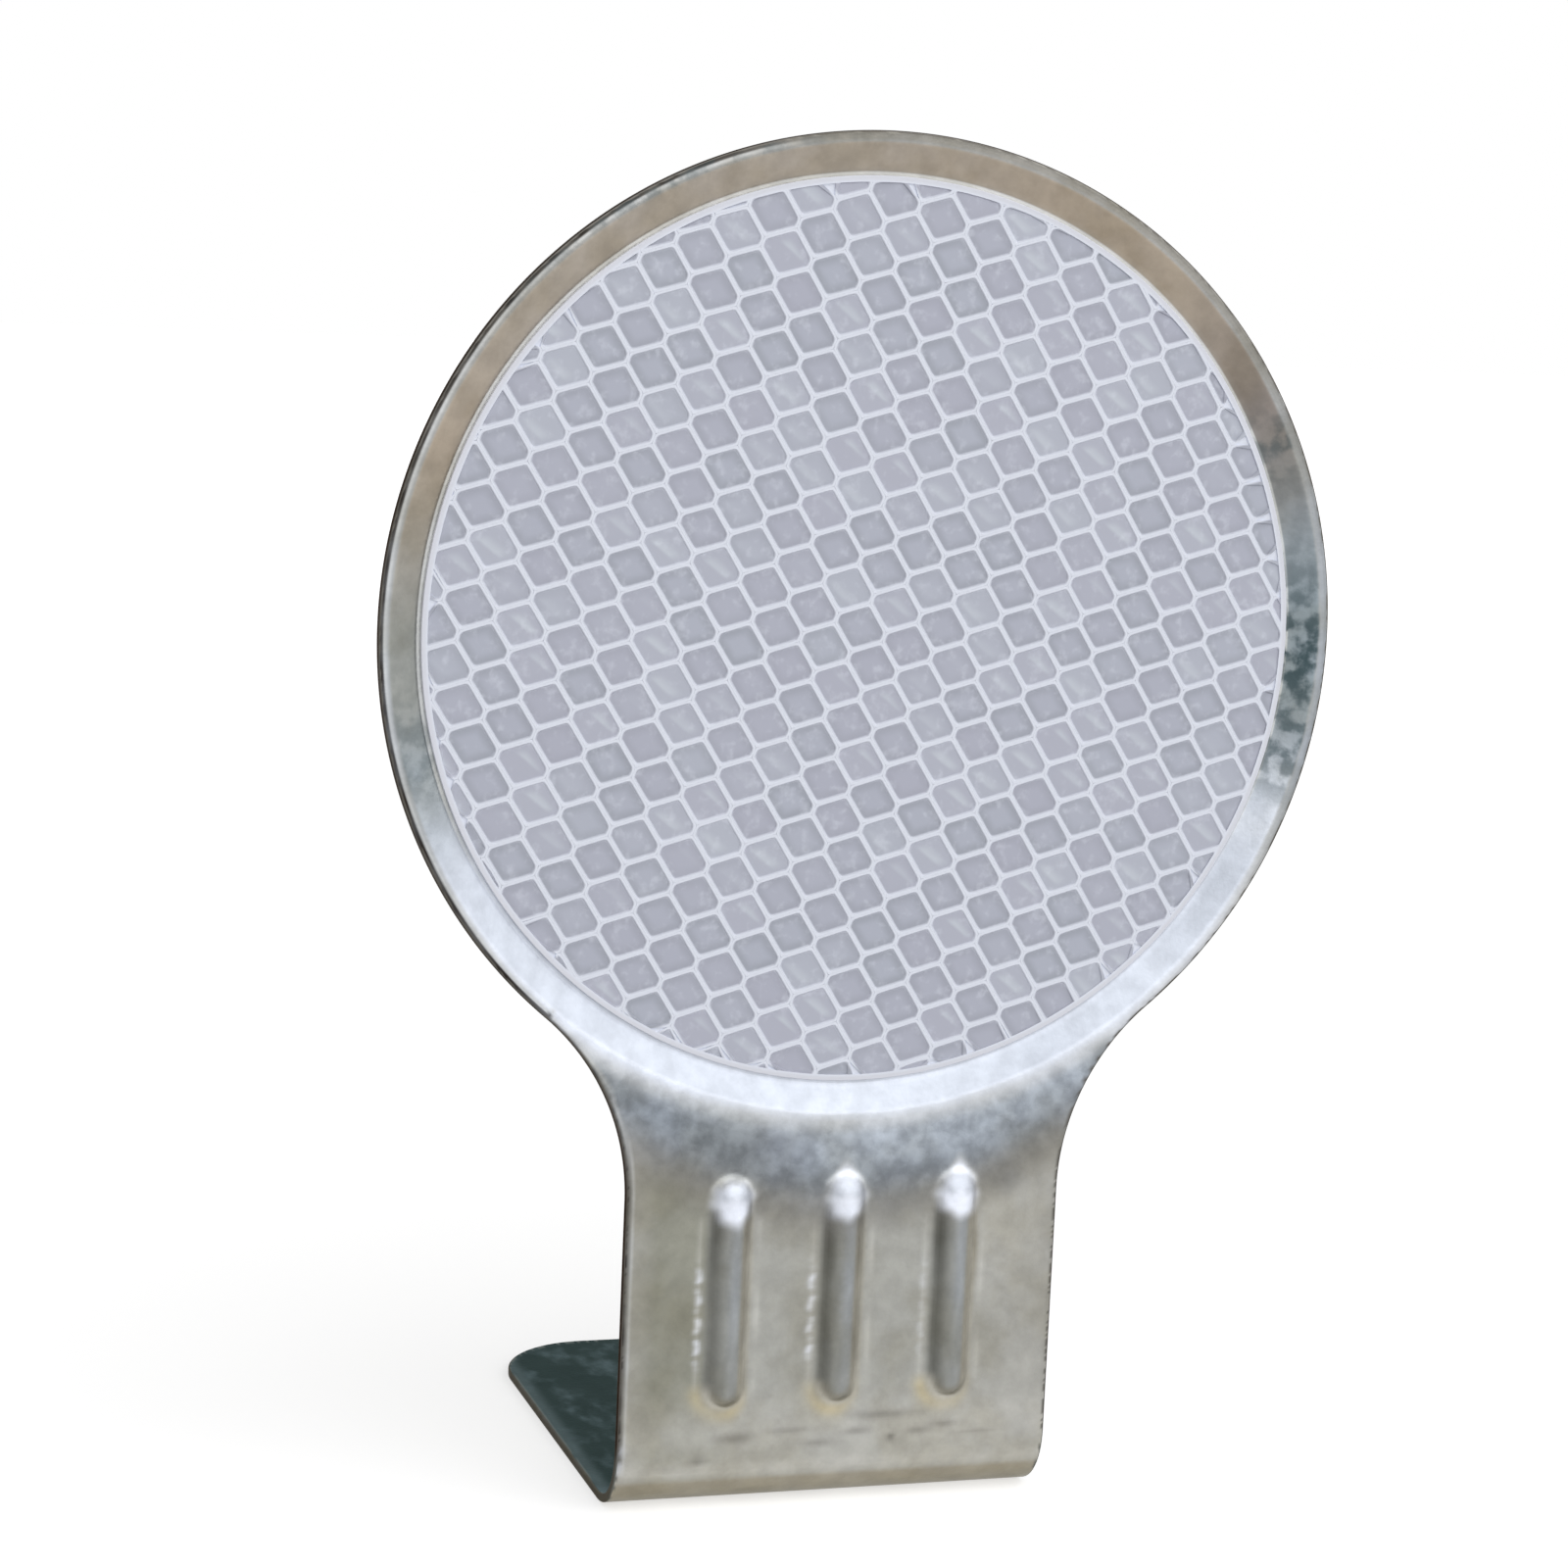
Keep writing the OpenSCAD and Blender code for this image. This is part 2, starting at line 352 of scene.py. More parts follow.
    # Painted shade at a bead's lower end, and brown spots on the third bead's right side.
    brown_spot_and_shade: paint("Dark stain", "Brown spot at a bead's lower end", 104, 96, 76)
    low_patch: paint("Low patch", "Brownish grey below the spangled zone", 122, 121, 118)
    # Painted shade: dark streaks where the sheet begins to bend.
    bend_shade: paint("Smudge", "Faint dark rubs above the bend", 112, 110, 106)
    cut: paint("Cut edge", "Dark cut edge of the sheet", 56, 51, 47)
    # A dark line painted on the front along its left outline.
    outline: paint("Worn outline", "Dark worn line along the front's left outline", 38, 34, 31)
    cut_low: paint("Low cut edge", "Cut edge of the bend and the foot, less dark", 100, 102, 99)
    # Painted shade: the foot's upper side and the bend's inside are dark.
    shaded_foot_top: paint("Foot", "Dark weathered zinc of the foot's upper side", 39, 51, 50)
    foot_side: paint("Foot side", "Lighter strip along the foot's sides", 84, 96, 98)
    # Painted glints on the foot's dark top.
    foot_glint: paint("Foot glint", "Lighter crystals on the foot", 84, 98, 102)
    edge_tint: paint("Grazing tint", "Glancing reflection that the zinc keeps", 225, 225, 222)
    cut_tint: paint("Cut grazing tint", "Glancing reflection that the cut edge keeps", 165, 160, 155)
    foot_tint: paint("Foot grazing tint", "Glancing reflection that the foot's top keeps", 202, 212, 212)


class FilmSettings(bpy.types.PropertyGroup):
    """Sizes and colours of the reflective film."""

    radius: length("Radius", "Radius of the film disc", 0.0502)
    thickness: length("Thickness", "Thickness of the film from its back to its ridges", 0.0005)
    ridge: length("Ridge height", "Height of the ridges above the cells' floors", 0.00015)
    rim: length("Rim width", "Width of the plain rim", 0.0007)
    cell_width: length("Cell width", "Width of a cell along its row", 0.00598)
    row_pitch: length("Row pitch", "Distance from one row to the next", 0.00343)
    cell_side: length("Short side", "Length of the short side between two cells of a row", 0.00115)
    wall: length("Wall width", "Width of the light wall between two cells", 0.00062)
    row_angle: angle("Row angle", "Turn of the rows, anticlockwise seen from the front", -20.6)
    shift_right: length("Shift right", "Place of a cell to the right of the disc's centre", -0.00106)
    shift_up: length("Shift up", "Place of that cell above the disc's centre", 0.00096)
    cell: paint("Cell", "Middle of a cell", 181, 185, 198)
    cell_edge: paint("Cell edge", "Cell just inside its walls", 166, 170, 181)
    cell_light: paint("Light cell", "Middle of the lighter cells", 187, 191, 203)
    cell_tint: paint("Cell tint", "Faint purple that some cells have", 180, 180, 195)
    crease: paint("Crease", "Light crease across a cell", 200, 205, 215)
    wall_colour: paint("Wall", "Walls between the cells", 230, 234, 245)
    rim_colour: paint("Rim", "Plain rim of the film", 222, 224, 233)


class StudioSettings(bpy.types.PropertyGroup):
    """The camera's place and the strength of the light."""

    camera_turn: angle("Camera turn", "How far the camera stands to the left", 17.403)
    camera_rise: angle("Camera rise", "Elevation of the camera", 8.449)
    camera_roll: angle("Camera roll", "Roll of the camera", 2.517)
    camera_distance: length("Camera distance", "Distance from the camera to its target", 0.407306)
    target_right: length("Target right", "Target's place across the panel", -0.009369)
    target_height: length("Target height", "Target's height above the base", 0.083668)
    lens: FloatProperty(name="Lens", description="Focal length", default=85.03, unit="CAMERA")
    light_turn: angle("Light turn", "How far the soft light stands to the right", 22.0)
    light_rise: angle("Light rise", "Elevation of the soft light", 37.0)
    light_distance: length("Light distance", "Distance of the soft light from the marker", 3.75)
    light_width: length("Light width", "Width of the soft light", 7.5)
    light_height: length("Light height", "Height of the soft light", 4.5)
    light_strength: level("Light strength", "Brightness of the soft light where it is looked at", 1.5)
    sky_strength: level("Sky strength", "Brightness of the world as a light", 0.28)
    floor_side: length("Floor side", "Side of the square floor", 8.0)
    floor_colour: paint("Floor", "Pale floor", 231, 231, 231)
    glow_start: length("Glow start", "Distance from the marker at which the floor's glow begins", 0.3)
    glow_end: length("Glow end", "Distance from the marker at which the floor's glow is full", 1.2)
    glow_near: level("Glow near", "Glow of the floor beside the marker, where it is seen", 0.56)
    glow_far: level("Glow far", "Glow of the floor far from the marker, where it is seen", 0.9)


class MarkerSettings(bpy.types.PropertyGroup):
    """All settings of the marker."""

    plate: PointerProperty(type=PlateSettings)
    film: PointerProperty(type=FilmSettings)
    studio: PointerProperty(type=StudioSettings)


def grid_faces(rows, columns, start=0, closed=False):
    """Four-cornered faces of a grid of rows by columns points, stored row by row from start.

    Where it is closed, the last column joins the first.
    """
    spans = columns if closed else columns - 1
    row, column = np.meshgrid(np.arange(rows - 1), np.arange(spans), indexing="ij")
    following = (column + 1) % columns
    corners = [
        row * columns + column,
        row * columns + following,
        (row + 1) * columns + following,
        (row + 1) * columns + column,
    ]
    return start + np.stack(corners, axis=-1).reshape(-1, 4)


def mesh_object(name, points, faces, point_values=None, slots=None, smooth=True):
    """An object from an array of points and a list of faces, with three values kept at each point.

    Points closer than WELD become one, faces that vanish go, and normals turn outwards.
    """
    mesh = bpy.data.meshes.new(name)
    mesh.from_pydata(np.asarray(points).reshape(-1, 3).tolist(), [], faces)
    if slots is not None:
        mesh.polygons.foreach_set("material_index", slots)
    for key, values in (point_values or {}).items():
        attribute = mesh.attributes.new(key, "FLOAT_VECTOR", "POINT")
        attribute.data.foreach_set("vector", values.astype(np.float32).ravel())
    work = bmesh.new()
    work.from_mesh(mesh)
    bmesh.ops.remove_doubles(work, verts=work.verts, dist=WELD)
    bmesh.ops.recalc_face_normals(work, faces=work.faces)
    work.to_mesh(mesh)
    work.free()
    mesh.polygons.foreach_set("use_smooth", np.full(len(mesh.polygons), smooth))
    piece = bpy.data.objects.new(name, mesh)
    bpy.context.scene.collection.objects.link(piece)
    return piece


def neck_touch(plate):
    """Angle from straight down at which the head's circle meets the neck's hollow curve.

    The curve's centre stands a neck radius beyond the panel's side and touches the head.
    """
    across = plate.panel_width / 2 + plate.neck_radius
    return math.asin(across / (plate.head_radius + plate.neck_radius))


def panel_front(plate):
    """How far in front of the frame's origin the panel's front stands, half of the object's depth."""
    return (plate.bend_radius + plate.foot_length) / 2


def neck_centre(plate):
    """Place of the right hollow curve's centre, across the panel and up from the base."""
    reach = plate.head_radius + plate.neck_radius
    turn = neck_touch(plate)
    return reach * math.sin(turn), plate.head_height - reach * math.cos(turn)


def half_width(plate, height, inset):
    """Half of the panel's width at each height, less the inset.

    It is straight up to the hollow curve's centre, and then follows that curve's circle.
    """
    centre_x, centre_z = neck_centre(plate)
    radius = plate.neck_radius + inset
    rise = np.maximum(height - centre_z, 0.0)
    return centre_x - np.sqrt(radius**2 - rise**2)


def head_reach(plate, turn, inset):
    """Distance from the head's centre to its outline, less the inset, at angles from straight down.

    Below the touching angle it is the near crossing of the ray with the hollow curve's circle.
    """
    outer = plate.head_radius + plate.neck_radius
    off = np.maximum(neck_touch(plate) - np.abs(turn), 0.0)
    square = (plate.neck_radius + inset) ** 2 - (outer * np.sin(off)) ** 2
    near = outer * np.cos(off) - np.sqrt(np.maximum(square, 0.0))
    return np.where(off > 0.0, near, plate.head_radius - inset)


def bead_middle(plate, index):
    """Place across the panel of a bead's middle line, counted from the left."""
    return (index - (plate.bead_count - 1) / 2) * plate.bead_pitch


def bead_height(plate, x, z):
    """Height of the beads in front of the panel, and its two slopes, across and up.

    Across a bead the height is a crown's arc that runs into a hollow arc at its foot. It
    depends only on the distance from the bead's middle line, which makes its ends round.
    """
    crown = plate.bead_crown
    fillet = plate.bead_fillet
    lean = math.acos(1 - plate.bead_height / (crown + fillet))
    turning = crown * math.sin(lean)
    foot = (crown + fillet) * math.sin(lean)
    index = np.round(x / plate.bead_pitch + (plate.bead_count - 1) / 2)
    across = x - bead_middle(plate, np.clip(index, 0, plate.bead_count - 1))
    along = z - np.clip(z, plate.bead_bottom + foot, plate.bead_top - foot)
    away = np.hypot(across, along)
    crown_rise = np.sqrt(np.maximum(crown**2 - away**2, TINY))
    fillet_rise = np.sqrt(np.maximum(fillet**2 - (foot - away) ** 2, TINY))
    on_crown = away < turning
    on_bead = away < foot
    height = np.where(on_crown, plate.bead_height - crown + crown_rise, fillet - fillet_rise)
    slope = np.where(on_crown, -away / crown_rise, (away - foot) / fillet_rise)
    height = np.where(on_bead, height, 0.0)
    unit = np.where(on_bead, slope, 0.0) / np.maximum(away, TINY)
    return height, unit * across, unit * along


def dish_section(plate, fold_steps=6, slope_steps=5):
    """Radius, depth and the normal's two parts along the dish's section, from its centre to its mouth.

    The floor is flat, a small arc lifts it to a straight slope, and a second arc, larger by
    the sheet's thickness, lays that slope over to the flat lip.
    """
    fold = plate.fold_radius
    over = fold + plate.thickness
    both = fold + over
    run = plate.mouth_radius - plate.floor_radius
    left_over = both - plate.dish_depth
    slope = math.asin(both / math.hypot(run, left_over)) - math.atan2(left_over, run)
    turn = np.linspace(0.0, slope, fold_steps + 1)
    floor_r = plate.floor_radius + fold * np.sin(turn)
    floor_d = plate.dish_depth - fold + fold * np.cos(turn)
    lip_r = plate.mouth_radius - over * np.sin(turn[::-1])
    lip_d = over - over * np.cos(turn[::-1])
    between = np.linspace(0.0, 1.0, slope_steps + 1)[1:-1]
    slope_r = floor_r[-1] + (lip_r[0] - floor_r[-1]) * between
    slope_d = floor_d[-1] + (lip_d[0] - floor_d[-1]) * between
    inner_r = np.array([0.0, 0.9]) * plate.floor_radius
    flat = 0 * inner_r
    radius = np.concatenate([inner_r, floor_r, slope_r, lip_r])
    depth = np.concatenate([flat + plate.dish_depth, floor_d, slope_d, lip_d])
    lean = np.concatenate([flat, turn, np.full(len(slope_r), slope), turn[::-1]])
    return radius, depth, -np.sin(lean), -np.cos(lean)


def column_x(plate, column, z, inset):
    """Place across the panel of each column at height z.

    Columns in the middle run straight up, and the outer ones spread out with the outline.
    """
    side = plate.panel_width / 2 - inset
    spread = (half_width(plate, z, inset) - CORE) / (side - CORE)
    outer = np.maximum(np.abs(column) - CORE, 0.0)
    return np.sign(column) * (np.minimum(np.abs(column), CORE) + outer * spread)


def join_line(plate, column, inset, repeats=40):
    """Where each column meets the arc of JOIN_RADIUS round the head's centre, found by repetition."""
    x = column
    for _ in range(repeats):
        z = plate.head_height - np.sqrt(JOIN_RADIUS**2 - x**2)
        x = column_x(plate, column, z, inset)
    return x, plate.head_height - np.sqrt(JOIN_RADIUS**2 - x**2)


def head_patch(plate, inset, column, angles=481, lip_rings=6):
    """Front of the head: rings round its centre, from the dish's section out to the join or the outline.

    Returns points and normals as ring by angle. The angles start at the join and run anticlockwise.
    """
    join_x, join_z = join_line(plate, column, inset)
    neck_turn = np.arctan2(join_x, plate.head_height - join_z)
    edge_turn = np.linspace(neck_turn[-1], 2 * np.pi + neck_turn[0], angles)
    turn = np.concatenate([neck_turn, edge_turn[1:-1]])
    wrapped = (turn + np.pi) % (2 * np.pi) - np.pi
    reach = head_reach(plate, wrapped, inset)
    reach[: len(column)] = JOIN_RADIUS
    radius, depth, normal_r, normal_d = dish_section(plate)
    outward = np.linspace(0.0, 1.0, lip_rings + 1)[1:, None]
    flat_r = plate.mouth_radius + (reach - plate.mouth_radius) * outward
    ring_r = np.concatenate([radius[:, None] + 0 * reach, flat_r])
    lip = (0, lip_rings)
    ring_d = np.pad(depth, lip)[:, None]
    ring_nr = np.pad(normal_r, lip)[:, None]
    ring_nd = np.pad(normal_d, lip, constant_values=-1.0)[:, None]
    across = np.sin(turn)
    up = -np.cos(turn)
    points = np.stack([ring_r * across, ring_d + 0 * ring_r, plate.head_height + ring_r * up], axis=-1)
    normals = np.stack([ring_nr * across, ring_nd + 0 * ring_r, ring_nr * up], axis=-1)
    return points, normals


def neck_patch(plate, inset, column, rows=110, arc_rows=14):
    """Front of the neck: level rows from the bend past the beads, then rows that swing into the join."""
    join_z = join_line(plate, column, inset)[1]
    top = plate.bead_top + ABOVE_BEADS
    low = np.linspace(plate.bend_radius, top, rows)[:, None] + 0 * column
    up = np.linspace(0.0, 1.0, arc_rows)[1:, None]
    z = np.concatenate([low, top + (join_z - top) * up])
    x = column_x(plate, column, z, inset)
    height, slope_x, slope_z = bead_height(plate, x, z)
    normals = -np.stack([slope_x, np.ones_like(x), slope_z], axis=-1)
    normals /= np.linalg.norm(normals, axis=-1, keepdims=True)
    return np.stack([x, -height, z], axis=-1), normals


def foot_patch(plate, inset, column, bend_rows=17, flat_rows=20, corner_rows=12):
    """Outside of the bend and underside of the foot.

    It is a quarter round, then flat rows, which fan out to the end with its two corners.
    """
    straight = plate.foot_length - plate.foot_corner
    turn = np.linspace(0.0, np.pi / 2, bend_rows)[:, None] + 0 * column
    bend_y = plate.bend_radius * (1 - np.cos(turn))
    bend_z = plate.bend_radius * (1 - np.sin(turn))
    flat_y = np.linspace(plate.bend_radius, straight, flat_rows)[1:, None] + 0 * column
    corner = plate.foot_corner - inset
    middle = plate.panel_width / 2 - plate.foot_corner
    travel = column / (middle + corner) * (middle + corner * np.pi / 2)
    swing = np.maximum(np.abs(travel) - middle, 0.0) / corner
    end_x = np.sign(travel) * (np.minimum(np.abs(travel), middle) + corner * np.sin(swing))
    end_y = straight + corner * np.cos(swing)
    out = np.linspace(0.0, 1.0, corner_rows)[1:, None]
    fan_x = column + (end_x - column) * out
    fan_y = straight + (end_y - straight) * out
    x = np.concatenate([0 * bend_y + column, 0 * flat_y + column, fan_x])
    y = np.concatenate([bend_y, flat_y, fan_y])
    z = np.concatenate([bend_z, 0 * flat_y, 0 * fan_y])
    lean = np.concatenate([turn, np.pi / 2 + 0 * flat_y, np.pi / 2 + 0 * fan_y])
    normals = np.stack([0 * x, -np.cos(lean), -np.sin(lean)], axis=-1)
    return np.stack([x, y, z], axis=-1), normals


def outline_outward(plate, points):
    """Direction out of the sheet, in its plane, at points of its outline.

    It is sideways on the straight sides, towards the hollow curve's centre beside it, away
    from the head's centre round the head, and away from the corner's centre at the foot's end.
    """
    x, y, z = points.T
    zero = 0 * x
    centre_x, centre_z = neck_centre(plate)
    straight = plate.foot_length - plate.foot_corner
    middle = plate.panel_width / 2 - plate.foot_corner
    turn = np.abs(np.arctan2(x, plate.head_height - z))[:, None]
    sideways = np.stack([np.sign(x), zero, zero], axis=-1)
    to_hollow = np.stack([np.sign(x) * centre_x - x, zero, centre_z - z], axis=-1)
    from_head = np.stack([x, zero, z - plate.head_height], axis=-1)
    from_corner = np.stack([x - np.clip(x, -middle, middle), y - straight, zero], axis=-1)
    outward = np.where(turn < neck_touch(plate), to_hollow, from_head)
    outward = np.where(z[:, None] <= centre_z, sideways, outward)
    outward = np.where(y[:, None] > straight, from_corner, outward)
    return outward / np.linalg.norm(outward, axis=-1, keepdims=True)


def edge_band(plate, rim, normal, outward, round_steps=4, cut_steps=3):
    """Rounded and cut edge of the sheet along its outline, and how far through the sheet each point lies.

    Across the band the section is a quarter round from the front, a flat cut and a quarter
    round to the back.
    """
    worn = plate.edge_radius
    thick = plate.thickness
    turn = np.linspace(0.0, np.pi / 2, round_steps + 1)
    front_out = worn * np.sin(turn)
    front_in = worn - worn * np.cos(turn)
    cut_in = np.linspace(worn, thick - worn, cut_steps + 1)[1:-1]
    out = np.concatenate([front_out, np.full(len(cut_in), worn), front_out[::-1]])
    into = np.concatenate([front_in, cut_in, thick - front_in[::-1]])
    points = rim + out[:, None, None] * outward - into[:, None, None] * normal
    return points, np.repeat(into[:, None], len(rim), axis=1) / thick


def fade(value, low, high):
    """A smooth step: 0 where the value is low and 1 where it is high, rising as 3t² - 2t³."""
    part = np.clip((value - low) / (high - low), 0.0, 1.0)
    return part * part * (3 - 2 * part)


def span(value, start, full, last, end):
    """A smooth step from 0 at the start up to 1 at full, times one from 1 at last down to 0 at the end."""
    return fade(value, start, full) * fade(value, end, last)


def hump(value, middle, half):
    """A soft hump, the exponential of minus the square: 1 in the middle and a third at half away."""
    return np.exp(-(((value - middle) / half) ** 2))


def ripple(place, index, waves):
    """A sum of sine waves along a place, each with its height, its rate and its shift for each bead."""
    return sum(height * np.sin(rate * place + shift * index) for height, rate, shift in waves)


def lay(tone, colour, weight):
    """Lays a colour, or one for each point, over the tones, as strongly as its weight at each point."""
    return tone + (np.array(colour) - tone) * np.asarray(weight)[:, None]


def lay_spots(plate, tone, spots, x, z, weight=1.0):
    """Lays soft oval spots over the tones, each the product of a hump across and a hump up."""
    for colour, middle_x, middle_z, half_x, half_z, strength in spots:
        oval = hump(x, middle_x, half_x) * hump(z, middle_z, half_z)
        tone = lay(tone, getattr(plate, colour), strength * weight * oval)
    return tone


def lay_stripe(plate, tone, stripe, across, z, index, where):
    """Lays a stripe along the bead of that index. Where is the share of it that each point takes."""
    weight = stripe.weight + stripe.gain * fade(z, stripe.start, stripe.full)
    weight = (weight + ripple(z, index, stripe.waves)) * stripe.shares[index] * where
    return lay(tone, getattr(plate, stripe.colour), weight * hump(across, stripe.middle, stripe.half))


def stops_tone(plate, stops, value):
    """Colours at each value, which run evenly from one stop to the next."""
    places = [place for place, _ in stops]
    colours = np.array([getattr(plate, colour) for _, colour in stops])
    return np.stack([np.interp(value, places, part) for part in colours.T], axis=-1)


def bead_sides(plate, tone, across, z, index):
    """Lays one bead's grey crown and tan right side, a painted highlight on its right flank, painted shade
    on its left flank, and light lines and glinting dashes beside it, which are painted highlights.
    """
    along = span(z, *BEAD_SPAN)
    body = fade(np.abs(across + 0.1), *CROWN_SIDES) * along
    tone = lay(tone, plate.bead_grey, 0.95 * body)
    tone = lay_stripe(plate, tone, BLUE_STRIPE, across, z, index, body)
    tone = lay(tone, plate.bead_tan, 0.75 * body * fade(across, *TAN_SIDE))
    # Painted highlight on the right flank.
    tone = lay_stripe(plate, tone, GLINT_STRIPE, across, z, index, along)
    drift = np.sin(0.5 * z + 2.0 * index)
    streaks = np.sin(4.0 * across + 1.6 * drift) + 0.6 * np.sin(6.5 * across + 2.5 * drift + 3.0 * index)
    tone = tone * (1.0 + 0.035 * body * streaks)[:, None]
    # Painted shade on the left flank.
    tone = lay_stripe(plate, tone, FLANK_SHADE_STRIPE, across, z, index, body)
    beside = span(z, *LINE_SPAN)
    # Painted highlights just outside the bead.
    tone = lay_stripe(plate, tone, RIGHT_LINE, across, z, index, beside)
    tone = lay_stripe(plate, tone, LEFT_LINE, across, z, index, beside)
    # Short glinting dashes left of the bead, painted highlights.
    dashes = fade(ripple(z, index, DASH_WAVES), -1.4, 1.0) * span(z, *DASH_SPAN)
    line = hump(across, 0.15 * np.sin(2.3 * z) - 3.5, 0.38)
    return lay(tone, plate.glare, GLINT_DASHES[index] * dashes * line)


def bead_end(plate, tone, across, z, index):
    """Lays the rings round a bead's lower end: a painted tan reflection, a light edge that is a painted
    highlight, and a brown spot of painted shade.
    """
    end = plate.bead_bottom / MM + LOW_END_IN
    ring = np.hypot(across + 0.2, z - end)
    below = fade(z, end + 1.2, end - 1.0)
    reflected = (0.75 + ripple(across, index, TAN_REFLECTION_WAVES)) * fade(across, *TAN_REFLECTION_SIDE)
    # The painted tan reflection round the lower end.
    tone = lay(tone, plate.tan_end_reflection, 0.6 * reflected * below * hump(ring, *TAN_REFLECTION_RING))
    # A painted highlight round the lower end.
    tone = lay(tone, plate.bead_glint, 0.6 * below * hump(ring, *LIGHT_RING))
    # A brown spot of painted shade at the lower end.
    return lay(tone, plate.brown_spot_and_shade, 0.5 * below * hump(across, -0.3, 1.8) * hump(ring, *BROWN_RING))


def bead_peak(plate, tone, across, z, index):
    """Lays a bead's ragged white top with its grey end, both painted highlights, and returns how strongly
    each point is in it.
    """
    up = z - TOP_MIDDLE
    rags = 1.0 + ripple(np.arctan2(up, across), index, TOP_WAVES)
    peak = PEAKS[index] * hump(across, 0.3, 1.7)
    reach = np.where(up > 0.0, TOP_UP + peak, TOP_DOWN)
    white = fade(np.hypot((across - 0.1) / TOP_HALF, up / reach) / rags, 1.25, 0.6)
    # The white top is a painted highlight.
    tone = lay(tone, plate.glare, TOP_WHITE[index] * white)
    end_ring = np.hypot(across, z - (plate.bead_top / MM - RING_IN))
    edge = fade(z, 36.4, 37.4) * hump(end_ring, 1.1, 1.0)
    return lay(tone, plate.top_end_sheen, 0.7 * white * edge), white


def bead_tone(plate, tone, x, z):
    """Lays the colours of all beads.

    Returns the colours, how strongly each point is part of a white top, and how dull its zinc is.
    """
    places = [x - bead_middle(plate, index) / MM for index in range(plate.bead_count)]
    for index, across in enumerate(places):
        tone = bead_sides(plate, tone, across, z, index)
    tone = lay_spots(plate, tone, BEAD_SPOTS, x, z)
    tops = 0 * x
    dull = 0 * x
    for index, across in enumerate(places):
        tone = bead_end(plate, tone, across, z, index)
        tone, white = bead_peak(plate, tone, across, z, index)
        tops = np.maximum(tops, white)
        dull = np.maximum(dull, 0.9 * span(z, *BEAD_SPAN) * hump(across, 2.0, 1.0))
    return tone, tops, dull


def outline_gap(plate, x, z):
    """Distance in millimetres from a place on the front to the sheet's outline, sideways below the head."""
    up = z - plate.head_height / MM
    turn = np.abs(np.arctan2(x, -up))
    touch = plate.head_height - plate.head_radius * math.cos(neck_touch(plate))
    side = half_width(plate, np.minimum(z * MM, touch), 0.0) / MM - np.abs(x)
    return np.where(turn < neck_touch(plate), side, plate.head_radius / MM - np.hypot(x, up))


def lay_spangle(plate, tone, x, z, out, below):
    """Lays the spangled zone under the head, darker at its sides and at its brownish lower end.

    Returns the colours, and how strongly each point is spangled.
    """
    edge = 10.0 - 2.5 * (x / 25) ** 2
    spangle = span(out, 0.0, 2.5, edge - 3.5, edge + 2.5) * fade(below, *SPANGLE_ROUND)
    tone = lay(tone, plate.spangle_light, spangle)
    sides = np.maximum(fade(x, -4.0, -17.0), 0.4 * fade(x, 4.0, 17.0)) * fade(out, *SIDES_OUT)
    tone = lay(tone, plate.spangle_dark, spangle * np.maximum(fade(out, 3.0, edge - 1.0), 0.8 * sides))
    tone = lay_spots(plate, tone, DARK_CLOUDS, x, z, fade(out, *CLOUD_OUT))
    return lay(tone, plate.low_patch, 0.7 * hump(out, edge + 0.8, 2.8) * fade(below, *LOW_ROUND)), spangle


def lay_dish(plate, tone, out, turn, below):
    """Lays the dish's slope, painted with reflections, and the flat lip, with painted shade at its top and
    the painted glare that runs out of the dish's lower part.

    Returns the colours, and how strongly each point is frosted.
    """
    # The lower part, which carries the painted highlight over the slope and the lip.
    lower = np.where(turn > -90.0, fade(below, *SHEEN_RIGHT), fade(below, *SHEEN_LEFT))
    bright = 1.0 + 0.6 * hump(turn, -120.0, 15.0) + 0.3 * hump(turn, -58.0, 12.0)
    lower_sheen = np.minimum(fade(out, *SHEEN_OUT) * fade(out, *SHEEN_END) * lower * bright, 1.0)
    slope = fade(out, *SLOPE_OUT)
    # The slope's painted reflections.
    tone = lay(tone, stops_tone(plate, SLOPE_STOPS, turn), slope)
    lip = span(out, *LIP_OUT) * (1 - lower)
    tone = lay(tone, plate.lip_side, lip)
    # Painted shade on the lip's top.
    tone = lay(tone, plate.lip_top_shade, lip * fade(np.abs(turn - LIP_TOP), *LIP_TOP_ROUND))
    past_floor = out + (plate.mouth_radius - plate.floor_radius) / MM
    # A painted highlight at the dish's floor fold, beside the film's edge, in the upper part.
    tone = lay(tone, plate.strip_highlight, 0.8 * (1 - lower) * fade(past_floor, *LIGHT_FOLD))
    # A faint painted highlight at the floor's fold, in the lower part.
    tone = lay(tone, plate.glare, 0.2 * lower * fade(past_floor, *GLARE_FOLD))
    # The painted highlight over the lower slope and the lip.
    return lay(tone, plate.glow, lower_sheen), np.maximum(lower_sheen, slope * fade(below, *FROST_ROUGH))


def lay_outline(plate, tone, x, z, turn):
    """Lays a light strip, a painted highlight just inside the edge, and the dark line outside it, which both
    follow the left outline.
    """
    gap = outline_gap(plate, x, z)
    left = fade(x, -5.0, -20.0) * fade(z, 4.0, 9.0)
    # The strip and the line waver in strength along the outline.
    worn = 0.88 + 0.12 * np.sin(z / 2.1) * np.sin(z / 0.9 + x)
    tone = lay(tone, plate.strip_highlight, 0.8 * left * hump(gap, 0.72, 0.22) * worn)
    wider = 0.07 * hump(turn, -150.0, 14.0)
    # The dark line along the outline.
    dark = fade(gap, 0.62 + wider, 0.42 + wider) * np.maximum(left, 0.15 * fade(z, 9.0, 14.0))
    return lay(tone, plate.outline, worn * dark)


